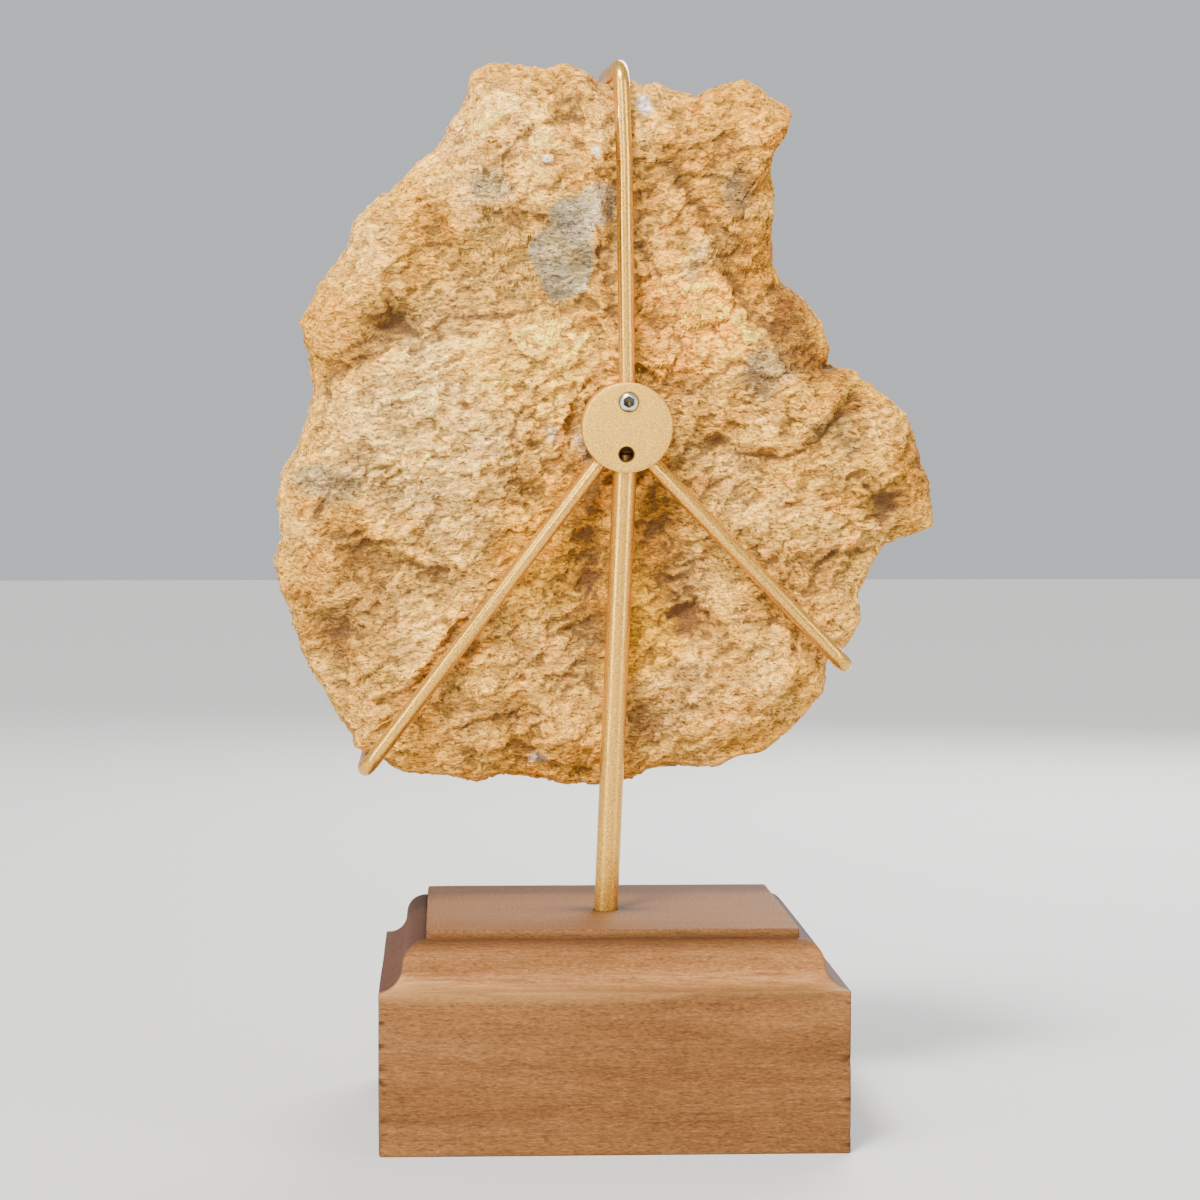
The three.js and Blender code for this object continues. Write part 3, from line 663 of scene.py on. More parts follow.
def rockColors(points):
    x, y = points[:, 0], points[:, 2]
    warpX = flatNoise(x, y, 9, 4, 51) + flatNoise(x, y, 3.5, 1.6, 53)
    warpY = flatNoise(x, y, 9, 4, 57) + flatNoise(x, y, 3.5, 1.6, 59)
    back = points[:, 1] < rock["rimMiddle"]
    colors = np.tile(np.array(srgb(*rockGround)), (len(points), 1))
    patchy = smoothStep(flatNoise(x, y, 31, 1, 87) + flatNoise(x, y, 12, 0.6, 89), -0.9, 0.9)[:, None]
    other = np.array(srgb(*rockOrange)) * (1 - patchy) + np.array(srgb(*rockCream)) * patchy
    mixed = np.where(back, 0.3, 0.45)[:, None]
    colors = colors * (1 - mixed) + other * mixed
    for (cx, cy), (a, b), color, strength in rockStainsAndShade:
        scale = min(1.0, min(a, b) / 8)
        far = np.hypot((x + warpX * scale - cx) / a, (y + warpY * scale - cy) / b)
        share = (strength * smoothStep(-far, -1.25, -0.5) * back)[:, None]
        colors = colors * (1 - share) + np.array(srgb(*color)) * share
    plate = (insidePatch(x + 0.12 * warpX, y + 0.12 * warpY, greyPlate, 0.5) * back)[:, None] * 0.95
    colors = colors * (1 - plate) + np.array(srgb(168, 158, 148)) * plate
    shade = 1 + flatNoise(x, y, 17, 0.1, 61) + flatNoise(x, y, 6, 0.08, 67)
    fromEdge = lineDistance(x, y, rockOutline + rockOutline[:1])[0]
    # painted shade: the back darkens within 15 mm of the outline, where the surface turns away from the
    # light
    shade = shade * (1 - 0.2 * back * (1 - smoothStep(fromEdge + 0.6 * warpX, 0, 15)))
    level = colors @ np.array([0.2126, 0.7152, 0.0722])
    colors = level[:, None] + (colors - level[:, None]) * rock["saturation"]
    return np.clip(colors * shade[:, None] * np.array(rock["tint"]), 0.01, 1)


def rockMaterial():
    material, tree, shader = newMaterial("ochreRock")
    # stains with painted shade baked in by makeRock
    stainAndShade = storedOut(tree, "stainAndShade", "Color")
    creaseShade = storedOut(tree, "creaseShade")
    coords = objectCoords(tree, turn=(0.2, 0.4, 0.1))
    warp = addNode(tree, "ShaderNodeTexNoise", {"Vector": coords, "Scale": 300.0, "Detail": 3.0})
    warp = vectorOut(tree, "SUBTRACT", {0: warp.outputs["Color"], 1: (0.5, 0.5, 0.5)})
    warp = vectorOut(tree, "SCALE", {0: warp, "Scale": 0.003})
    along = objectCoords(tree, scale=(0.42, 1.0, 1.0), turn=(0, 0.5, 0))
    warped = vectorOut(tree, "ADD", {0: along, 1: warp})
    scales = addNode(tree, "ShaderNodeTexVoronoi", {"Vector": warped, "Scale": 1000.0}).outputs
    crumbs = noiseOut(tree, warped, 480, 3, 0.6)
    streak = noiseOut(tree, warped, 1150, 3, 0.7)
    blotch = noiseOut(tree, coords, 170, 5, 0.62)
    patch = noiseOut(tree, objectCoords(tree, turn=(0.5, 0.1, 0.7)), 75, 4, 0.6, 0.4)
    chip = addNode(tree, "ShaderNodeSeparateColor", {0: scales["Color"]}).outputs[0]
    color = tinted(tree, stainAndShade, chip, [(0.0, 0.84), (0.5, 1.0), (1.0, 1.16)])
    # the streak and crumb colours follow the bump below: partly the rock's own specks, partly painted shade
    # in the pits and painted light on the grains' tops
    color = tinted(tree, color, streak, [
        (0.34, (0.22, 0.17, 0.14)), (0.44, (0.74, 0.7, 0.66)), (0.54, (1.14, 1.13, 1.11)),
        (0.66, (1.55, 1.52, 1.5))])
    color = tinted(tree, color, crumbs, [
        (0.3, 0.74), (0.5, 1.0), (0.7, 1.18)])
    color = tinted(tree, color, blotch, [
        (0.3, (0.86, 0.7, 0.54)), (0.5, (1, 1, 1)), (0.68, (1.13, 1.1, 1.13))])
    color = tinted(tree, color, patch, [
        (0.34, (1.06, 0.92, 0.66)), (0.5, (1, 1, 1)), (0.66, (1.0, 0.97, 1.14))])
    # painted shade: creases, cracks, dents and the deepest hollows are mixed towards dark brown
    color = mixOut(tree, mathOut(tree, "MULTIPLY", creaseShade, 0.75), color, srgb(98, 64, 38))
    height = mathOut(tree, "ADD", streak, mathOut(tree, "MULTIPLY", crumbs, 1.4))
    height = mathOut(tree, "SUBTRACT", height, mathOut(tree, "MULTIPLY", scales["Distance"], 0.6))
    setInputs(tree, shader, {"Base Color": color, "Roughness": 0.92, "Specular IOR Level": 0.25,
                             "Normal": bumpOut(tree, height, 0.0008)})
    return material


def makeRock():
    points, creaseShades, rows = rockSurface()
    piece = meshObject("rockSlab", toWorld(points), rockFaces(rows))
    mesh = piece.data
    normals = meshValues(mesh, "normal")
    x, y, back = points[:, 0], points[:, 2], points[:, 1] < rock["rimMiddle"]
    calm = 1 - 0.8 * insidePatch(x, y, greyPlate, 1.0) * back
    grain = grainHeights(points, calm) * rock["grainHeight"]
    world = toWorld(points) + normals * grain[:, None] * mm
    low, high = (np.array(corner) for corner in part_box("matrix"))
    world = np.clip(world, low, high)
    mesh.vertices.foreach_set("co", world.ravel())
    mesh.update()
    # painted shade: the skin's colour is darkened in its hollows and lightened on its ridges, at three sizes
    depths = hollowDepths(mesh, world, meshValues(mesh, "normal"), [size[0] for size in rock["hollowSizes"]])
    dark = sum(weight * np.clip(depth / span, -1, most)
               for depth, (rounds, weight, span, most) in zip(depths, rock["hollowSizes"]))
    shade = np.exp(-0.34 * dark)[:, None]
    colors = np.column_stack([np.clip(rockColors(points) * shade, 0, 1), np.ones(len(points))])
    # the stored colour holds the stains and the painted shade together
    stainAndShade = mesh.color_attributes.new("stainAndShade", "FLOAT_COLOR", "POINT")
    stainAndShade.data.foreach_set("color", colors.ravel())
    # painted shade: the creases' shade plus the deepest hollows
    creaseShade = np.clip(creaseShades + np.clip(dark - 0.6, 0, 1) * 0.5, 0, 1)
    storeValues(mesh, "creaseShade", creaseShade)
    finishPiece(piece, rockMaterial(), "matrix")
    print("rock made,", len(mesh.polygons), "faces")


makeRock()

# Rods
def roundedPath(points, bendRadius, arcSteps):
    points = [Vector(p) for p in points]
    path = [points[0]]
    for before, corner, after in zip(points, points[1:], points[2:]):
        back, ahead = before - corner, after - corner
        half = back.angle(ahead) / 2
        reach = min(bendRadius / math.tan(half), 0.48 * back.length, 0.48 * ahead.length)
        start, end = corner + back.normalized() * reach, corner + ahead.normalized() * reach
        radius = reach * math.tan(half)
        middle = corner + (back.normalized() + ahead.normalized()).normalized() * radius / math.sin(half)
        turn = (start - middle).rotation_difference(end - middle)
        for step in range(arcSteps + 1):
            part = Quaternion().slerp(turn, step / arcSteps)
            path.append(middle + part @ (start - middle))
    path.append(points[-1])
    return path


def rodRings(path, radius, sides, endRound):
    stations = []
    for i, point in enumerate(path):
        tangent = (path[min(i + 1, len(path) - 1)] - path[max(i - 1, 0)]).normalized()
        stations.append((point, tangent, radius))
    first, last = stations[0], stations[-1]
    caps = [(endRound * (1 - math.sin(a)), radius - endRound * (1 - math.cos(a)))
            for a in np.linspace(0, math.pi / 2, 5)[::-1]]
    start = [(first[0] + first[1] * gone, first[1], size) for gone, size in caps]
    end = [(last[0] - last[1] * gone, last[1], size) for gone, size in caps]
    stations = start + stations[1:-1] + end[::-1]
    normal = Vector((1, 0.2, 0.1)).cross(stations[0][1]).normalized()
    rings, before = [], stations[0][1]
    for point, tangent, size in stations:
        normal = before.rotation_difference(tangent) @ normal
        side = tangent.cross(normal)
        before = tangent
        rings.append([point + (normal * math.cos(a) + side * math.sin(a)) * size
                      for a in around(sides)])
    return rings


def goldMaterial(name, grainScale, grainHeight, tone, extraRough=0.0):
    material, tree, shader = newMaterial(name)
    coords = objectCoords(tree)
    inside = storedOut(tree, "inside")
    sparkle = noiseOut(tree, coords, grainScale, 2, 0.6)
    wear = noiseOut(tree, coords, 90, 4, 0.6)
    # painted glints: the fine grain turns the metal's colour from darker to brighter than its tone, with a
    # matching bump
    color = mixOut(tree, rampOut(tree, sparkle, [(0.4, 0), (0.62, 1)]),
                   tuple(value * 0.55 for value in tone), tuple(min(1, value * 1.3) for value in tone))
    color = mixOut(tree, rampOut(tree, wear, [(0.35, 0), (0.75, 0.3)]), color,
                   tuple(value * 0.72 for value in tone))
    # painted shade: the post inside the hub and the open hole's walls are mixed towards dark brown
    color = mixOut(tree, mathOut(tree, "MULTIPLY", inside, 0.93), color, srgb(70, 40, 18))
    rough = rampOut(tree, wear, [(0.3, 0.24 + extraRough), (0.7, 0.32 + extraRough)])
    setInputs(tree, shader, {"Base Color": color, "Metallic": 0.85, "Roughness": rough,
                             "Normal": bumpOut(tree, sparkle, grainHeight, 0.6)})
    return material


# stores painted shade for the parts that sit inside a hole or socket
def paintShadeInside(piece, shadeShare):
    mesh = piece.data
    turned = meshValues(mesh, "co") / mm - np.array(holderMatrix.translation)
    local = turned @ np.array(holderMatrix.to_3x3())
    storeValues(mesh, "inside", np.clip(shadeShare(local[:, 0], local[:, 1], local[:, 2]), 0, 1))


def makeRods():
    gold = goldMaterial("champagneGold", 2200, 0.00005, srgb(252, 180, 76))
    foot, upwards = postLine()
    hubEdge = -upwards * rods["shadeStart"]
    paths = {"post": [foot - upwards * holderPlace["postSunk"], foot, hubEdge,
                      hubEdge + upwards * rods["shadeLength"], -upwards * holderPlace["postTop"]]}
    for name, corners in armPoints.items():
        paths[name] = roundedPath(corners, rods["bendRadius"], rods["arcSteps"])
    for name, path in paths.items():
        radius = rods["postRadius"] if name == "post" else rods["armRadius"]
        rings = rodRings(path, radius, rods["sides"], rods["endRound"])
        vertices, faces = closedRings(rings)
        piece = meshObject(name + "Rod", toWorld(vertices), faces)
        if name == "post":
            # painted shade on the post where it runs inside the hub
            paintShadeInside(piece, lambda x, y, z: (z + rods["shadeStart"]) / rods["shadeLength"])
        finishPiece(piece, gold, name)
    print("rods made")


makeRods()

# Hub and set screw
hub = {
    "radius": 15.0,
    "halfThickness": 6.0,
    "chamfer": 0.6,
    "screwPlace": (0.4, 8.5),
    "holePlace": (-0.3, -8.8),
    "holeRadius": 2.5,
    "holeDepth": 0.5,  # y of the hole's bottom
    "socketSlack": 0.15,
}
screw = {
    "radius": 3.0,
    "head": -7.2,  # y of the head's face
    "tip": -3.0,
    "chamfer": 0.5,
    "hexAcross": 3.0,
    "socketDepth": 2.2,
    "threadDepth": 0.25,
    "pitch": 0.5,
}


def threadProfile(start, end, pitch, outer, inner):
    turns = round((end - start) / pitch)
    return [(outer if i % 2 == 0 else inner, y)
            for i, y in enumerate(np.linspace(start, end, 2 * turns + 1))]


def makeHub():
    half, chamfer, radius = hub["halfThickness"], hub["chamfer"], hub["radius"]
    profile = [(2, -half), (8, -half), (radius - 2 * chamfer, -half), (radius - chamfer, -half + 0.06),
               (radius - 0.3 * chamfer, -half + 0.35 * chamfer), (radius, -half + chamfer),
               (radius, half - chamfer), (radius - chamfer, half), (2, half)]
    piece = closedPiece("hubDisc", roundAlongY(profile, (0, 0), 128))
    screwHole = [(screw["radius"] + 0.5, -9), (screw["radius"] + 0.5, -half - 0.01),
                 (screw["radius"] + 0.15, -half + 0.4), (screw["radius"] + 0.15, -2.2)]
    size = hub["holeRadius"]
    openHole = [(size + 0.35, -9), (size + 0.35, -half - 0.01)] + threadProfile(
        -half + 0.4, hub["holeDepth"], 0.7, size, size - 0.25)
    cutters = [closedPiece("screwHole", roundAlongY(screwHole, hub["screwPlace"], 48)),
               closedPiece("openHole", roundAlongY(openHole, hub["holePlace"], 48))]
    slack = hub["socketSlack"]
    foot, upwards = postLine()
    sockets = [(foot, -upwards * (holderPlace["postTop"] - slack), rods["postRadius"])]
    for name, corners in armPoints.items():
        start, end = Vector(corners[0]), Vector(corners[1])
        towards = (end - start).normalized()
        sockets.append((start - towards * slack, end, rods["armRadius"]))
    for start, end, radius in sockets:
        rings = rodRings([start, start.lerp(end, 0.5), end], radius + slack, 48, 0.01)
        cutters.append(closedPiece("socket", [toWorld(ring) for ring in rings]))
    cutFrom(piece, cutters, 35)
    holeX, holeZ = hub["holePlace"]
    # painted shade in the open hole
    paintShadeInside(piece, lambda x, y, z: (y > -5.8) * (np.hypot(x - holeX, z - holeZ) < 2.8))
    blasted = goldMaterial("blastedGold", 2700, 0.00012, srgb(255, 184, 76), 0.2)
    finishPiece(piece, blasted, "hub")
    print("hub made")


def steelMaterial():
    material, tree, shader = newMaterial("brightSteel")
    marks = noiseOut(tree, objectCoords(tree), 3000, 3, 0.6)
    inside = storedOut(tree, "inside")
    # painted shade: the hex socket is mixed towards dark olive grey
    setInputs(tree, shader, {
        "Base Color": mixOut(tree, inside, srgb(214, 214, 210), srgb(88, 84, 62)), "Metallic": 1.0,
        "Roughness": rampOut(tree, marks, [(0.3, 0.14), (0.7, 0.3)]),
        "Normal": bumpOut(tree, marks, 0.00002, 0.5)})
    return material


def makeScrew():
    head, tip, chamfer, radius = (screw[key] for key in ("head", "tip", "chamfer", "radius"))
    thread = threadProfile(head + chamfer, tip - chamfer, screw["pitch"],
                           radius, radius - screw["threadDepth"])
    profile = [(1.9, head), (radius - chamfer - 0.1, head), (radius - chamfer, head + 0.05)]
    profile += thread + [(radius - chamfer, tip), (0.8, tip)]
    piece = closedPiece("setScrew", roundAlongY(profile, hub["screwPlace"], 64))
    corner = screw["hexAcross"] / math.sqrt(3)
    socket = [(corner + 0.3, head - 1), (corner + 0.3, head - 0.01), (corner, head + 0.28),
              (corner, head + screw["socketDepth"]), (0.3, head + screw["socketDepth"] + 0.5)]
    cutFrom(piece, [closedPiece("hexSocket", roundAlongY(socket, hub["screwPlace"], 6))], 30)
    # painted shade in the hex socket
    paintShadeInside(piece, lambda x, y, z: (y > head + 0.2) * (
        np.hypot(x - hub["screwPlace"][0], z - hub["screwPlace"][1]) < corner + 0.1))
    finishPiece(piece, steelMaterial(), "set_screw")
    print("screw made")


makeHub()
makeScrew()

# Base
base = {
    "width": 150.0,
    "blockHeight": 52.0,
    "mouldingRadius": 7.5,
    "fillet": 3.0,
    "cornerRound": 0.8,
    "sideSamples": 66,
    "edgeWear": 0.13,
    "topEdge": 0.0696,  # metres from here on: above it is the flat top
    "creviceShade": 0.0669,  # painted shade: dark line under the top's edge
    "wornEdge": 0.0519,  # rubbed edge of the block
    "baredBand": 0.0542,  # where the stain is thin on the cove
}
# Chips: (place, reach, depth)
baseChips = [((-75, -75, 4.2), 2.4, 1.0), ((73.8, -75, 6.3), 1.5, 0.45), ((75, -75, 30), 1.6, 0.35),
             ((-42, -75, 52), 2.0, 0.5), ((58, -75, 51.6), 1.5, 0.4), ((-60, -58, 70), 2.2, 0.5),
             ((75, 20, 52), 2.5, 0.5), ((-75, 75, 12), 2.4, 0.8)]


def baseProfile():
    block, radius, top = base["blockHeight"], base["mouldingRadius"], holderPlace["postFoot"][2]
    rows = [(0.7, 0, 1), (0.2, 0.2, 1), (0, 0.7, 1)]
    rows += [(0, z, 0) for z in np.linspace(2, block - 2, 22)]
    rows += [(0, block - 0.5, 1), (0.12, block - 0.12, 1), (0.5, block, 1)]
    for a in np.linspace(0.12, math.pi / 2, 14):
        rows.append((radius * math.sin(a), block + radius * (1 - math.cos(a)), 0))
    for a in np.linspace(0.11, math.pi / 2, 14):
        rows.append((radius * (2 - math.cos(a)), block + radius * (1 + math.sin(a)), 0))
    rows += [(2 * radius, top - base["fillet"] / 2, 0), (2 * radius, top - 0.5, 1),
             (2 * radius + 0.12, top - 0.12, 1), (2 * radius + 0.5, top, 1)]
    rows += [(2 * radius + inset, top, 0) for inset in (2, 5, 10, 20, 32, 46, 56)]
    return rows


def baseRing(inset, z):
    half = base["width"] / 2 - inset
    turn = min(base["cornerRound"], half / 2)
    points = []
    for quarter in range(4):
        c, s = round(math.cos(quarter * math.pi / 2)), round(math.sin(quarter * math.pi / 2))
        line = [(half, y) for y in np.linspace(turn - half, half - turn, base["sideSamples"])]
        arc = [(half - turn + turn * math.cos(a), half - turn + turn * math.sin(a))
               for a in (math.pi / 8, math.pi / 4, 3 * math.pi / 8)]
        points += [(x * c - y * s, x * s + y * c, z) for x, y in line + arc]
    return points


def wornPoint(point, edge):
    x, y, z = point
    half, block = base["width"] / 2, base["blockHeight"]
    cornerness = max(0.0, 1 - (half - min(abs(x), abs(y)) - max(0, z - block) * 0.8) / 3)
    edge = max(edge, cornerness)
    wave = 0.05 + 0.05 * noise.noise(Vector((x / 24, y / 24, z / 18)))
    nick = base["edgeWear"] * edge * max(0, noise.noise(Vector((x / 9, y / 9, z / 8))) + 0.15)
    gone = wave + nick
    for place, reach, depth in baseChips:
        far = math.dist(point, place) / reach
        gone += depth * math.exp(-far ** 4) * (0.75 + 0.5 * noise.noise(Vector((x, y, z)) * 1.3))
    inwards = 1 - gone / half
    return (x * inwards, y * inwards, z - (0.5 * (gone - wave) if z > 60 else 0))


def woodFigure(tree, fine, broad, fleck):
    growth = addNode(tree, "ShaderNodeTexWave", {
        "Vector": objectCoords(tree, scale=(0.25, 1, 1), turn=(0.3, 0.05, 0.04)), "Scale": 30.0,
        "Distortion": 6.0, "Detail": 3.0, "Detail Scale": 1.2},
        wave_type="RINGS", rings_direction="X").outputs["Fac"]
    color = rampOut(tree, broad, [
        (0.3, srgb(102, 66, 34)), (0.5, srgb(115, 76, 41)), (0.7, srgb(130, 88, 50))])
    color = tinted(tree, color, growth, [
        (0.0, 0.94), (0.6, 1.0), (0.95, 1.06)])
    color = tinted(tree, color, fine, [
        (0.3, 0.8), (0.5, 1.0), (0.7, 1.14)])
    color = tinted(tree, color, fleck, [
        (0.3, 0.5), (0.44, 0.9), (0.56, 1.06), (0.7, 1.55)])
    return color


def woodEnds(tree, color, place, spot, fleck):
    height, sideways, forwards = spot
    sawn = rampOut(tree, mathOut(tree, "SUBTRACT", sideways, forwards), [(0.0, 0), (0.0008, 0.85)])
    sawn = mathOut(tree, "MULTIPLY", sawn, mathOut(tree, "LESS_THAN", height, base["topEdge"]))
    endGrain = rampOut(tree, fleck, [(0.35, srgb(44, 28, 24)), (0.6, srgb(74, 47, 38))])
    color = mixOut(tree, sawn, color, endGrain)
    onTop = mathOut(tree, "MULTIPLY", mathOut(tree, "GREATER_THAN", height, base["topEdge"]), 0.8)
    dust = noiseOut(tree, objectCoords(tree, scale=(0.7, 1, 1)), 1900, 2, 0.7)
    topColor = rampOut(tree, dust, [
        (0.36, srgb(84, 52, 22)), (0.5, srgb(116, 74, 33)), (0.6, srgb(134, 90, 46)),
        (0.7, srgb(180, 138, 88))])
    color = mixOut(tree, onTop, color, topColor)
    # painted shade: a dark ring on the top around the post's foot
    footPlace = tuple(value * mm for value in holderPlace["postFoot"])
    away = vectorOut(tree, "SUBTRACT", {0: place, 1: footPlace})
    away = vectorOut(tree, "MULTIPLY", {0: away, 1: (0.5, 1, 1)})
    away = vectorOut(tree, "LENGTH", {0: away}, "Value")
    foot = rampOut(tree, away, [(0.004, 0.8), (0.0055, 0.4), (0.014, 0)])
    color = mixOut(tree, foot, color, srgb(58, 36, 20))
    return color


def woodWear(tree, color, spot, fine, broad):
    height, sideways, forwards = spot
    nicks = noiseOut(tree, objectCoords(tree, scale=(0.3, 0.3, 1)), 420, 1, 0.5)
    nicks = mathOut(tree, "MULTIPLY", rampOut(tree, nicks, [(0.58, 0), (0.64, 1)]),
                    rampOut(tree, sideways, [(0.0728, 0), (0.0744, 0.85)]))
    nicks = mathOut(tree, "MULTIPLY", nicks, mathOut(tree, "GREATER_THAN", forwards, 0.0742))
    color = mixOut(tree, nicks, color, srgb(52, 30, 18))
    # painted shade: a thin dark line in the crevice under the top's edge
    creviceShade = nearLevel(tree, height, base["creviceShade"], [(0.0, 0.75), (0.0011, 0)])
    color = mixOut(tree, creviceShade, color, srgb(50, 28, 14))
    # painted light: the moulding is painted lighter, most of all on its upward-facing roundover, as if lit
    # from above
    mouldingLight = rampOut(tree, height, [(0.0515, 1), (0.053, 1.4), (0.067, 1.24)])
    lit = mixOut(tree, 1.0, color, mouldingLight, "MULTIPLY")
    color = mixOut(tree, mathOut(tree, "LESS_THAN", height, base["topEdge"]), color, lit)
    worn = nearLevel(tree, height, base["wornEdge"], [(0.0, 0.6), (0.0006, 0)])
    bared = nearLevel(tree, height, base["baredBand"], [(0.0, 0.75), (0.003, 0)])
    bared = tinted(tree, bared, fine, [(0.42, 0.1), (0.6, 1)])
    worn = mixOut(tree, 1.0, worn, bared, "LIGHTEN")
    worn = tinted(tree, worn, broad, [(0.4, 0.2), (0.6, 1)])
    worn = mathOut(tree, "MULTIPLY", worn, mathOut(tree, "LESS_THAN", sideways, forwards))
    color = mixOut(tree, worn, color, srgb(180, 134, 82))
    return color


def woodMaterial():
    material, tree, shader = newMaterial("stainedWood")
    place = tree.nodes.new("ShaderNodeTexCoord").outputs["Object"]
    axes = addNode(tree, "ShaderNodeSeparateXYZ", {0: place}).outputs
    spot = (axes["Z"], mathOut(tree, "ABSOLUTE", axes["X"]), mathOut(tree, "ABSOLUTE", axes["Y"]))
    broad = noiseOut(tree, objectCoords(tree, scale=(0.09, 1, 1), turn=(0, 0.03, 0.02)), 110, 4, 0.5, 0.3)
    fine = noiseOut(tree, objectCoords(tree, scale=(0.07, 1, 1), turn=(0, 0.02, 0)), 1200, 3, 0.6)
    fleck = noiseOut(tree, objectCoords(tree, scale=(0.26, 1, 1)), 2300, 3, 0.65)
    color = woodFigure(tree, fine, broad, fleck)
    color = woodEnds(tree, color, place, spot, fleck)
    color = woodWear(tree, color, spot, fine, broad)
    grain = mathOut(tree, "ADD", fine, mathOut(tree, "MULTIPLY", fleck, 0.8))
    setInputs(tree, shader, {
        "Base Color": color, "Roughness": rampOut(tree, fine, [(0.3, 0.74), (0.7, 0.6)]),
        "Specular IOR Level": 0.07, "Normal": bumpOut(tree, grain, 0.00018, 0.8)})
    return material


def makeBase():
    rings = [[wornPoint(point, edge) for point in baseRing(inset, z)] for inset, z, edge in baseProfile()]
    piece = closedPiece("woodBase", np.array(rings) * mm)
    foot = Vector(holderPlace["postFoot"])
    upwards = (Vector(holderPlace["hubCentre"]) - foot).normalized()
    hole = rodRings([foot - upwards * (holderPlace["postSunk"] + 0.3), foot, foot + upwards * 9],
                    rods["postRadius"] + 0.3, 64, 0.01)
    cutFrom(piece, [closedPiece("postHole", np.array(hole) * mm)], 40)
    finishPiece(piece, woodMaterial(), "base")
    print("base made,", len(piece.data.polygons), "faces")


makeBase()

# Urchin's shell and spines
# stores how deep each point lies in a hollow, used for painted shade
def hollowShade(mesh, rounds, spans, strength):
    depths = hollowDepths(mesh, meshValues(mesh, "co"), meshValues(mesh, "normal"), rounds)
    dark = sum(np.clip(depth / span, -1, 1.5) for depth, span in zip(depths, spans)) / len(spans)
    storeValues(mesh, "relief", np.clip(0.5 - strength * dark, 0, 1))


def calciteMaterial():
    material, tree, shader = newMaterial("fossilCalcite")
    level = storedOut(tree, "relief")
    coords = objectCoords(tree)
    mottle = noiseOut(tree, coords, 210, 5, 0.6)
    speck = noiseOut(tree, coords, 1500, 3, 0.65)
    # painted shade and light: the colour runs from dark brown in the hollows to pale on the bumps; the pale
    # bump tops are partly wear
    color = rampOut(tree, level, [
        (0.15, srgb(88, 56, 28)), (0.42, srgb(112, 80, 52)), (0.6, srgb(142, 110, 78)),
        (0.85, srgb(190, 162, 126))])
    dust = rampOut(tree, noiseOut(tree, coords, 140, 4, 0.6), [(0.45, 0), (0.6, 0.7)])
    dust = mathOut(tree, "MULTIPLY", dust, rampOut(tree, level, [(0.3, 1), (0.65, 0.1)]))
    color = mixOut(tree, dust, color, srgb(170, 112, 54))
    color = tinted(tree, color, mottle, [
        (0.3, (0.74, 0.7, 0.68)), (0.55, (1, 1, 1)), (0.75, (1.12, 1.06, 0.98))])
    color = mixOut(tree, rampOut(tree, speck, [(0.34, 0.5), (0.44, 0)]), color, srgb(86, 60, 40))
    setInputs(tree, shader, {
        "Base Color": color, "Roughness": rampOut(tree, mottle, [(0.3, 0.72), (0.7, 0.5)]),
        "Normal": bumpOut(tree, speck, 0.0002, 0.7)})
    return material


calcite = calciteMaterial()


def testTubercles():
    places = []
    for area in range(fossil["bands"]):
        for side in (-1, 1):
            for lift, spread in fossil["tubercleRows"]:
                angle = (area + 0.5) * 2 * math.pi / fossil["bands"] + side * math.radians(spread)
                places.append((angle, math.radians(lift), 0.75 + 0.35 * math.cos(math.radians(lift))))
    return places


def testPoint(angle, lift):
    reach = fossil["testRadius"] * np.cos(lift) ** 0.8
    return np.array([reach * np.cos(angle), fossil["testHeight"] * np.sin(lift), reach * np.sin(angle)])


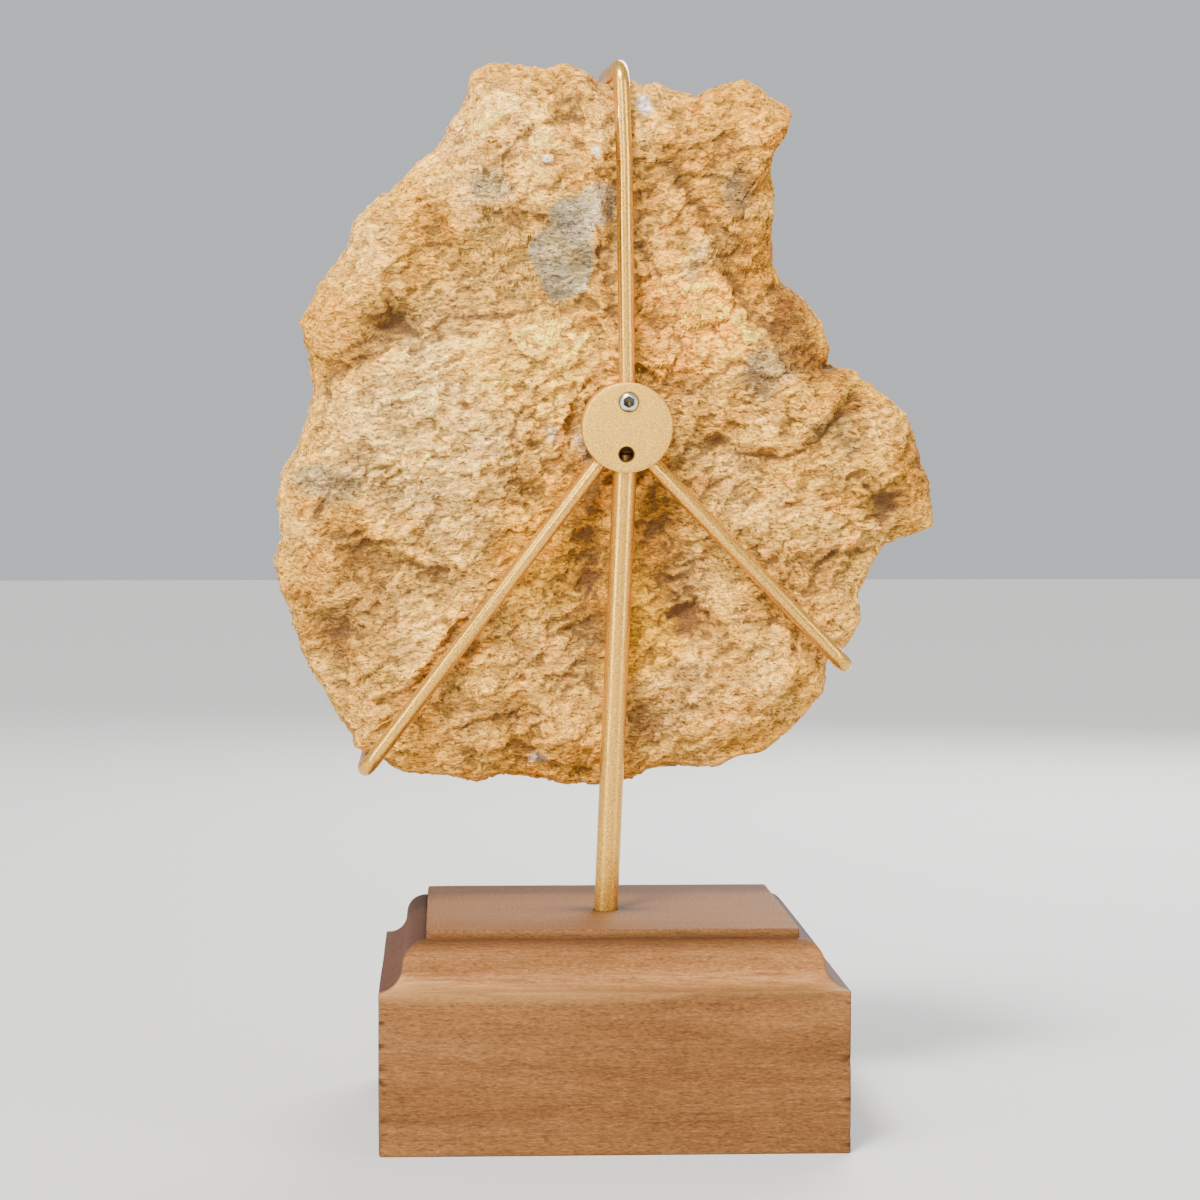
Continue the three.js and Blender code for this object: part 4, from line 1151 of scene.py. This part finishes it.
def makeTest():
    spokes, rows = 360, 96
    angles = around(spokes)
    lifts = np.radians(np.linspace(87.5, 0, rows))
    rings = []
    tubercles = [(testPoint(angle, lift), size, lift) for angle, lift, size in testTubercles()]
    for lift in lifts:
        skin = testPoint(angles, np.full(spokes, lift))
        outwards = np.array([np.cos(lift) * np.cos(angles) / fossil["testRadius"],
                             np.full(spokes, np.sin(lift) / fossil["testHeight"]),
                             np.cos(lift) * np.sin(angles) / fossil["testRadius"]])
        outwards /= np.linalg.norm(outwards, axis=0)
        fromBand = (angles * fossil["bands"] / (2 * math.pi) + 0.5) % 1 - 0.5  # 0 in the middle of a band
        across = np.abs(fromBand) * 2 * math.pi / fossil["bands"] * np.hypot(skin[0], skin[2])
        along = fossil["testRadius"] * (math.pi / 2 - lift) * 0.85
        wobble = 0.35 * np.sin(along * 2.1)
        band = np.exp(-((across - 0.1) / 2.3) ** 4)
        height = -0.9 * band + 0.35 * np.exp(-(across / 0.9) ** 2) * (1 + np.sin(along * 3.6))
        pores = np.exp(-((across - 1.7 - wobble * 0.3) / 0.5) ** 2) * (0.5 + 0.5 * np.sin(along * 7.2))
        height -= 0.35 * pores
        halfGap = math.pi / fossil["bands"]
        fromSeam = np.abs((angles % (2 * halfGap)) - halfGap) * np.hypot(skin[0], skin[2])
        height -= 0.35 * np.exp(-((fromSeam - wobble) / 0.35) ** 2)
        plateSeam = np.abs((along / 6.6 + 0.5 * (((angles % (2 * halfGap)) > halfGap))) % 1 - 0.5) * 6.6
        height -= 0.25 * np.exp(-(plateSeam / 0.3) ** 2) * (1 - band)
        grains = flatNoise(angles * np.hypot(skin[0], skin[2]) * 1.0, np.full(spokes, along), 0.9, 0.22, 91)
        height += np.maximum(grains, -0.05) * (1 - 0.6 * band)
        for place, size, row in tubercles:
            far = np.linalg.norm(skin - place[:, None], axis=0)
            near = far < 8
            if not near.any():
                continue
            d = far[near] / size
            boss = 2.1 * smoothStep(-d, -4.0, -1.4) + 0.5 * np.sqrt(np.maximum(0, 1 - (d / 1.5) ** 2))
            areole = -0.5 * np.exp(-((d - 4.5) / 0.7) ** 2)
            turn = np.arctan2(skin[1][near] - place[1], (angles[near] - math.atan2(place[2], place[0])) * 20)
            circle = 0.6 * np.exp(-((d - 5.6) / 0.5) ** 2) * (0.5 + 0.5 * np.cos(turn * 13))
            keep = np.exp(-(d / 5.2) ** 8)
            height[near] = height[near] * (1 - keep) + size * (boss + areole) + circle
        rings.append((skin + outwards * height).T)
    sunk = fossil["testSunk"]
    for share, y in ((1.0, -0.6), (0.99, -2.0), (0.97, -3.6), (0.92, -6.4), (0.86, -sunk), (0.5, -sunk)):
        reach = fossil["testRadius"] * share
        rings.append(np.column_stack([reach * np.cos(angles), np.full(spokes, y), reach * np.sin(angles)]))
    points = intoBox(toWorld(np.vstack(rings)), "sea_urchin_test")
    piece = closedPiece("urchinTest", points.reshape(len(rings), spokes, 3))
    hollowShade(piece.data, (3, 16), (0.12, 0.5), 0.45)
    finishPiece(piece, calcite, "sea_urchin_test")
    print("test made,", len(piece.data.polygons), "faces")


def makeSpine(number, place, turn, length):
    sides, rows = 60, 100
    thick = fossil["spineGirth"] * length
    along = 0.5 * np.cos(np.linspace(math.pi, 0, rows)) * 0.999
    angles = around(sides)
    points = []
    heading = math.radians(turn)
    towards = np.array([math.cos(heading), 0, math.sin(heading)])
    side = np.array([-math.sin(heading), 0, math.cos(heading)])
    for share in along:
        size = thick * np.interp(share, spineKnots, spineSizes)
        rough = 1 - 1 / (1 + math.exp((share + 0.36) * 60))
        row = math.floor((share + 0.5) * length / fossil["beadSpacing"])
        bead = 0.5 - 0.5 * math.cos((share + 0.5) * length / fossil["beadSpacing"] * 2 * math.pi)
        lines = 0.5 + 0.5 * np.cos(angles * fossil["beadLines"] + math.pi * (row % 2))
        radius = max(size, 0.02) + 0.34 * (bead * lines - 0.35) * rough * min(1, size / 1.5)
        milled = 0.12 * math.exp(-((share + 0.45) / 0.02) ** 2) * np.cos(angles * 24)
        radius = radius + milled
        ring = (towards[:, None] * share * length + side[:, None] * (radius * np.cos(angles))
                + np.array([0, 1, 0])[:, None] * (radius * np.sin(angles)))
        points.append(ring.T)
    world = intoBox(toWorld(np.vstack(points)), "urchin_spine_%02d" % number)
    piece = closedPiece("spine%02d" % number, world.reshape(rows, sides, 3))
    hollowShade(piece.data, (2, 10), (0.06, 0.3), 0.45)
    finishPiece(piece, calcite, "urchin_spine_%02d" % number)


makeTest()
for number, (place, turn, length) in enumerate(spinePlan, 1):
    makeSpine(number, place, turn, length)
print("spines made")

# Floor, light and surroundings
studio = {
    "floorColor": (198, 196, 192),
    "worldColor": (0.86, 0.88, 0.92),
    "worldStrength": 0.7,
    "sun": {"strength": 4.3, "softness": 12.0, "high": 50.0, "left": 24.0},  # degrees
    "lights": [  # name, place, width, height, power
        ("keyBox", (-0.5, -0.8, 1.3), 0.5, 0.5, 21.0),
        ("frontBox", (-0.15, -1.6, 0.55), 0.4, 0.4, 8.0),
        ("leftBox", (-1.0, -0.95, 0.35), 0.25, 0.9, 9.5),
        ("rightBox", (1.1, -0.85, 0.35), 0.25, 0.9, 8.0),
        ("rearBox", (0.5, 1.3, 0.9), 0.8, 0.8, 30.0),
    ],
}


def makeStudio(settings):
    floor = meshObject("floor", [(-6, -6, 0), (6, -6, 0), (6, 6, 0), (-6, 6, 0)], [(0, 1, 2, 3)], False)
    material, tree, shader = newMaterial("paleFloor")
    setInputs(tree, shader, {"Base Color": (*srgb(*settings["floorColor"]), 1), "Roughness": 0.7})
    floor.data.materials.append(material)
    world = bpy.data.worlds.new("softWorld")
    world.use_nodes = True
    setInputs(world.node_tree, world.node_tree.nodes["Background"],
              {"Color": (*settings["worldColor"], 1), "Strength": settings["worldStrength"]})
    bpy.context.scene.world = world
    sun = bpy.data.objects.new("softSun", bpy.data.lights.new("softSun", "SUN"))
    sun.data.energy = settings["sun"]["strength"]
    sun.data.angle = math.radians(settings["sun"]["softness"])
    sun.rotation_euler = (math.radians(90 - settings["sun"]["high"]), 0,
                          -math.radians(settings["sun"]["left"]))
    bpy.context.scene.collection.objects.link(sun)
    for name, place, width, height, power in settings["lights"]:
        data = bpy.data.lights.new(name, "AREA")
        data.shape = "RECTANGLE"
        data.size, data.size_y = width, height
        data.energy = power
        light = bpy.data.objects.new(name, data)
        light.location = place
        towards = Vector((0, 0, 0.2)) - Vector(place)
        light.rotation_euler = towards.to_track_quat("-Z", "Y").to_euler()
        bpy.context.scene.collection.objects.link(light)


makeStudio(studio)
print("studio made")
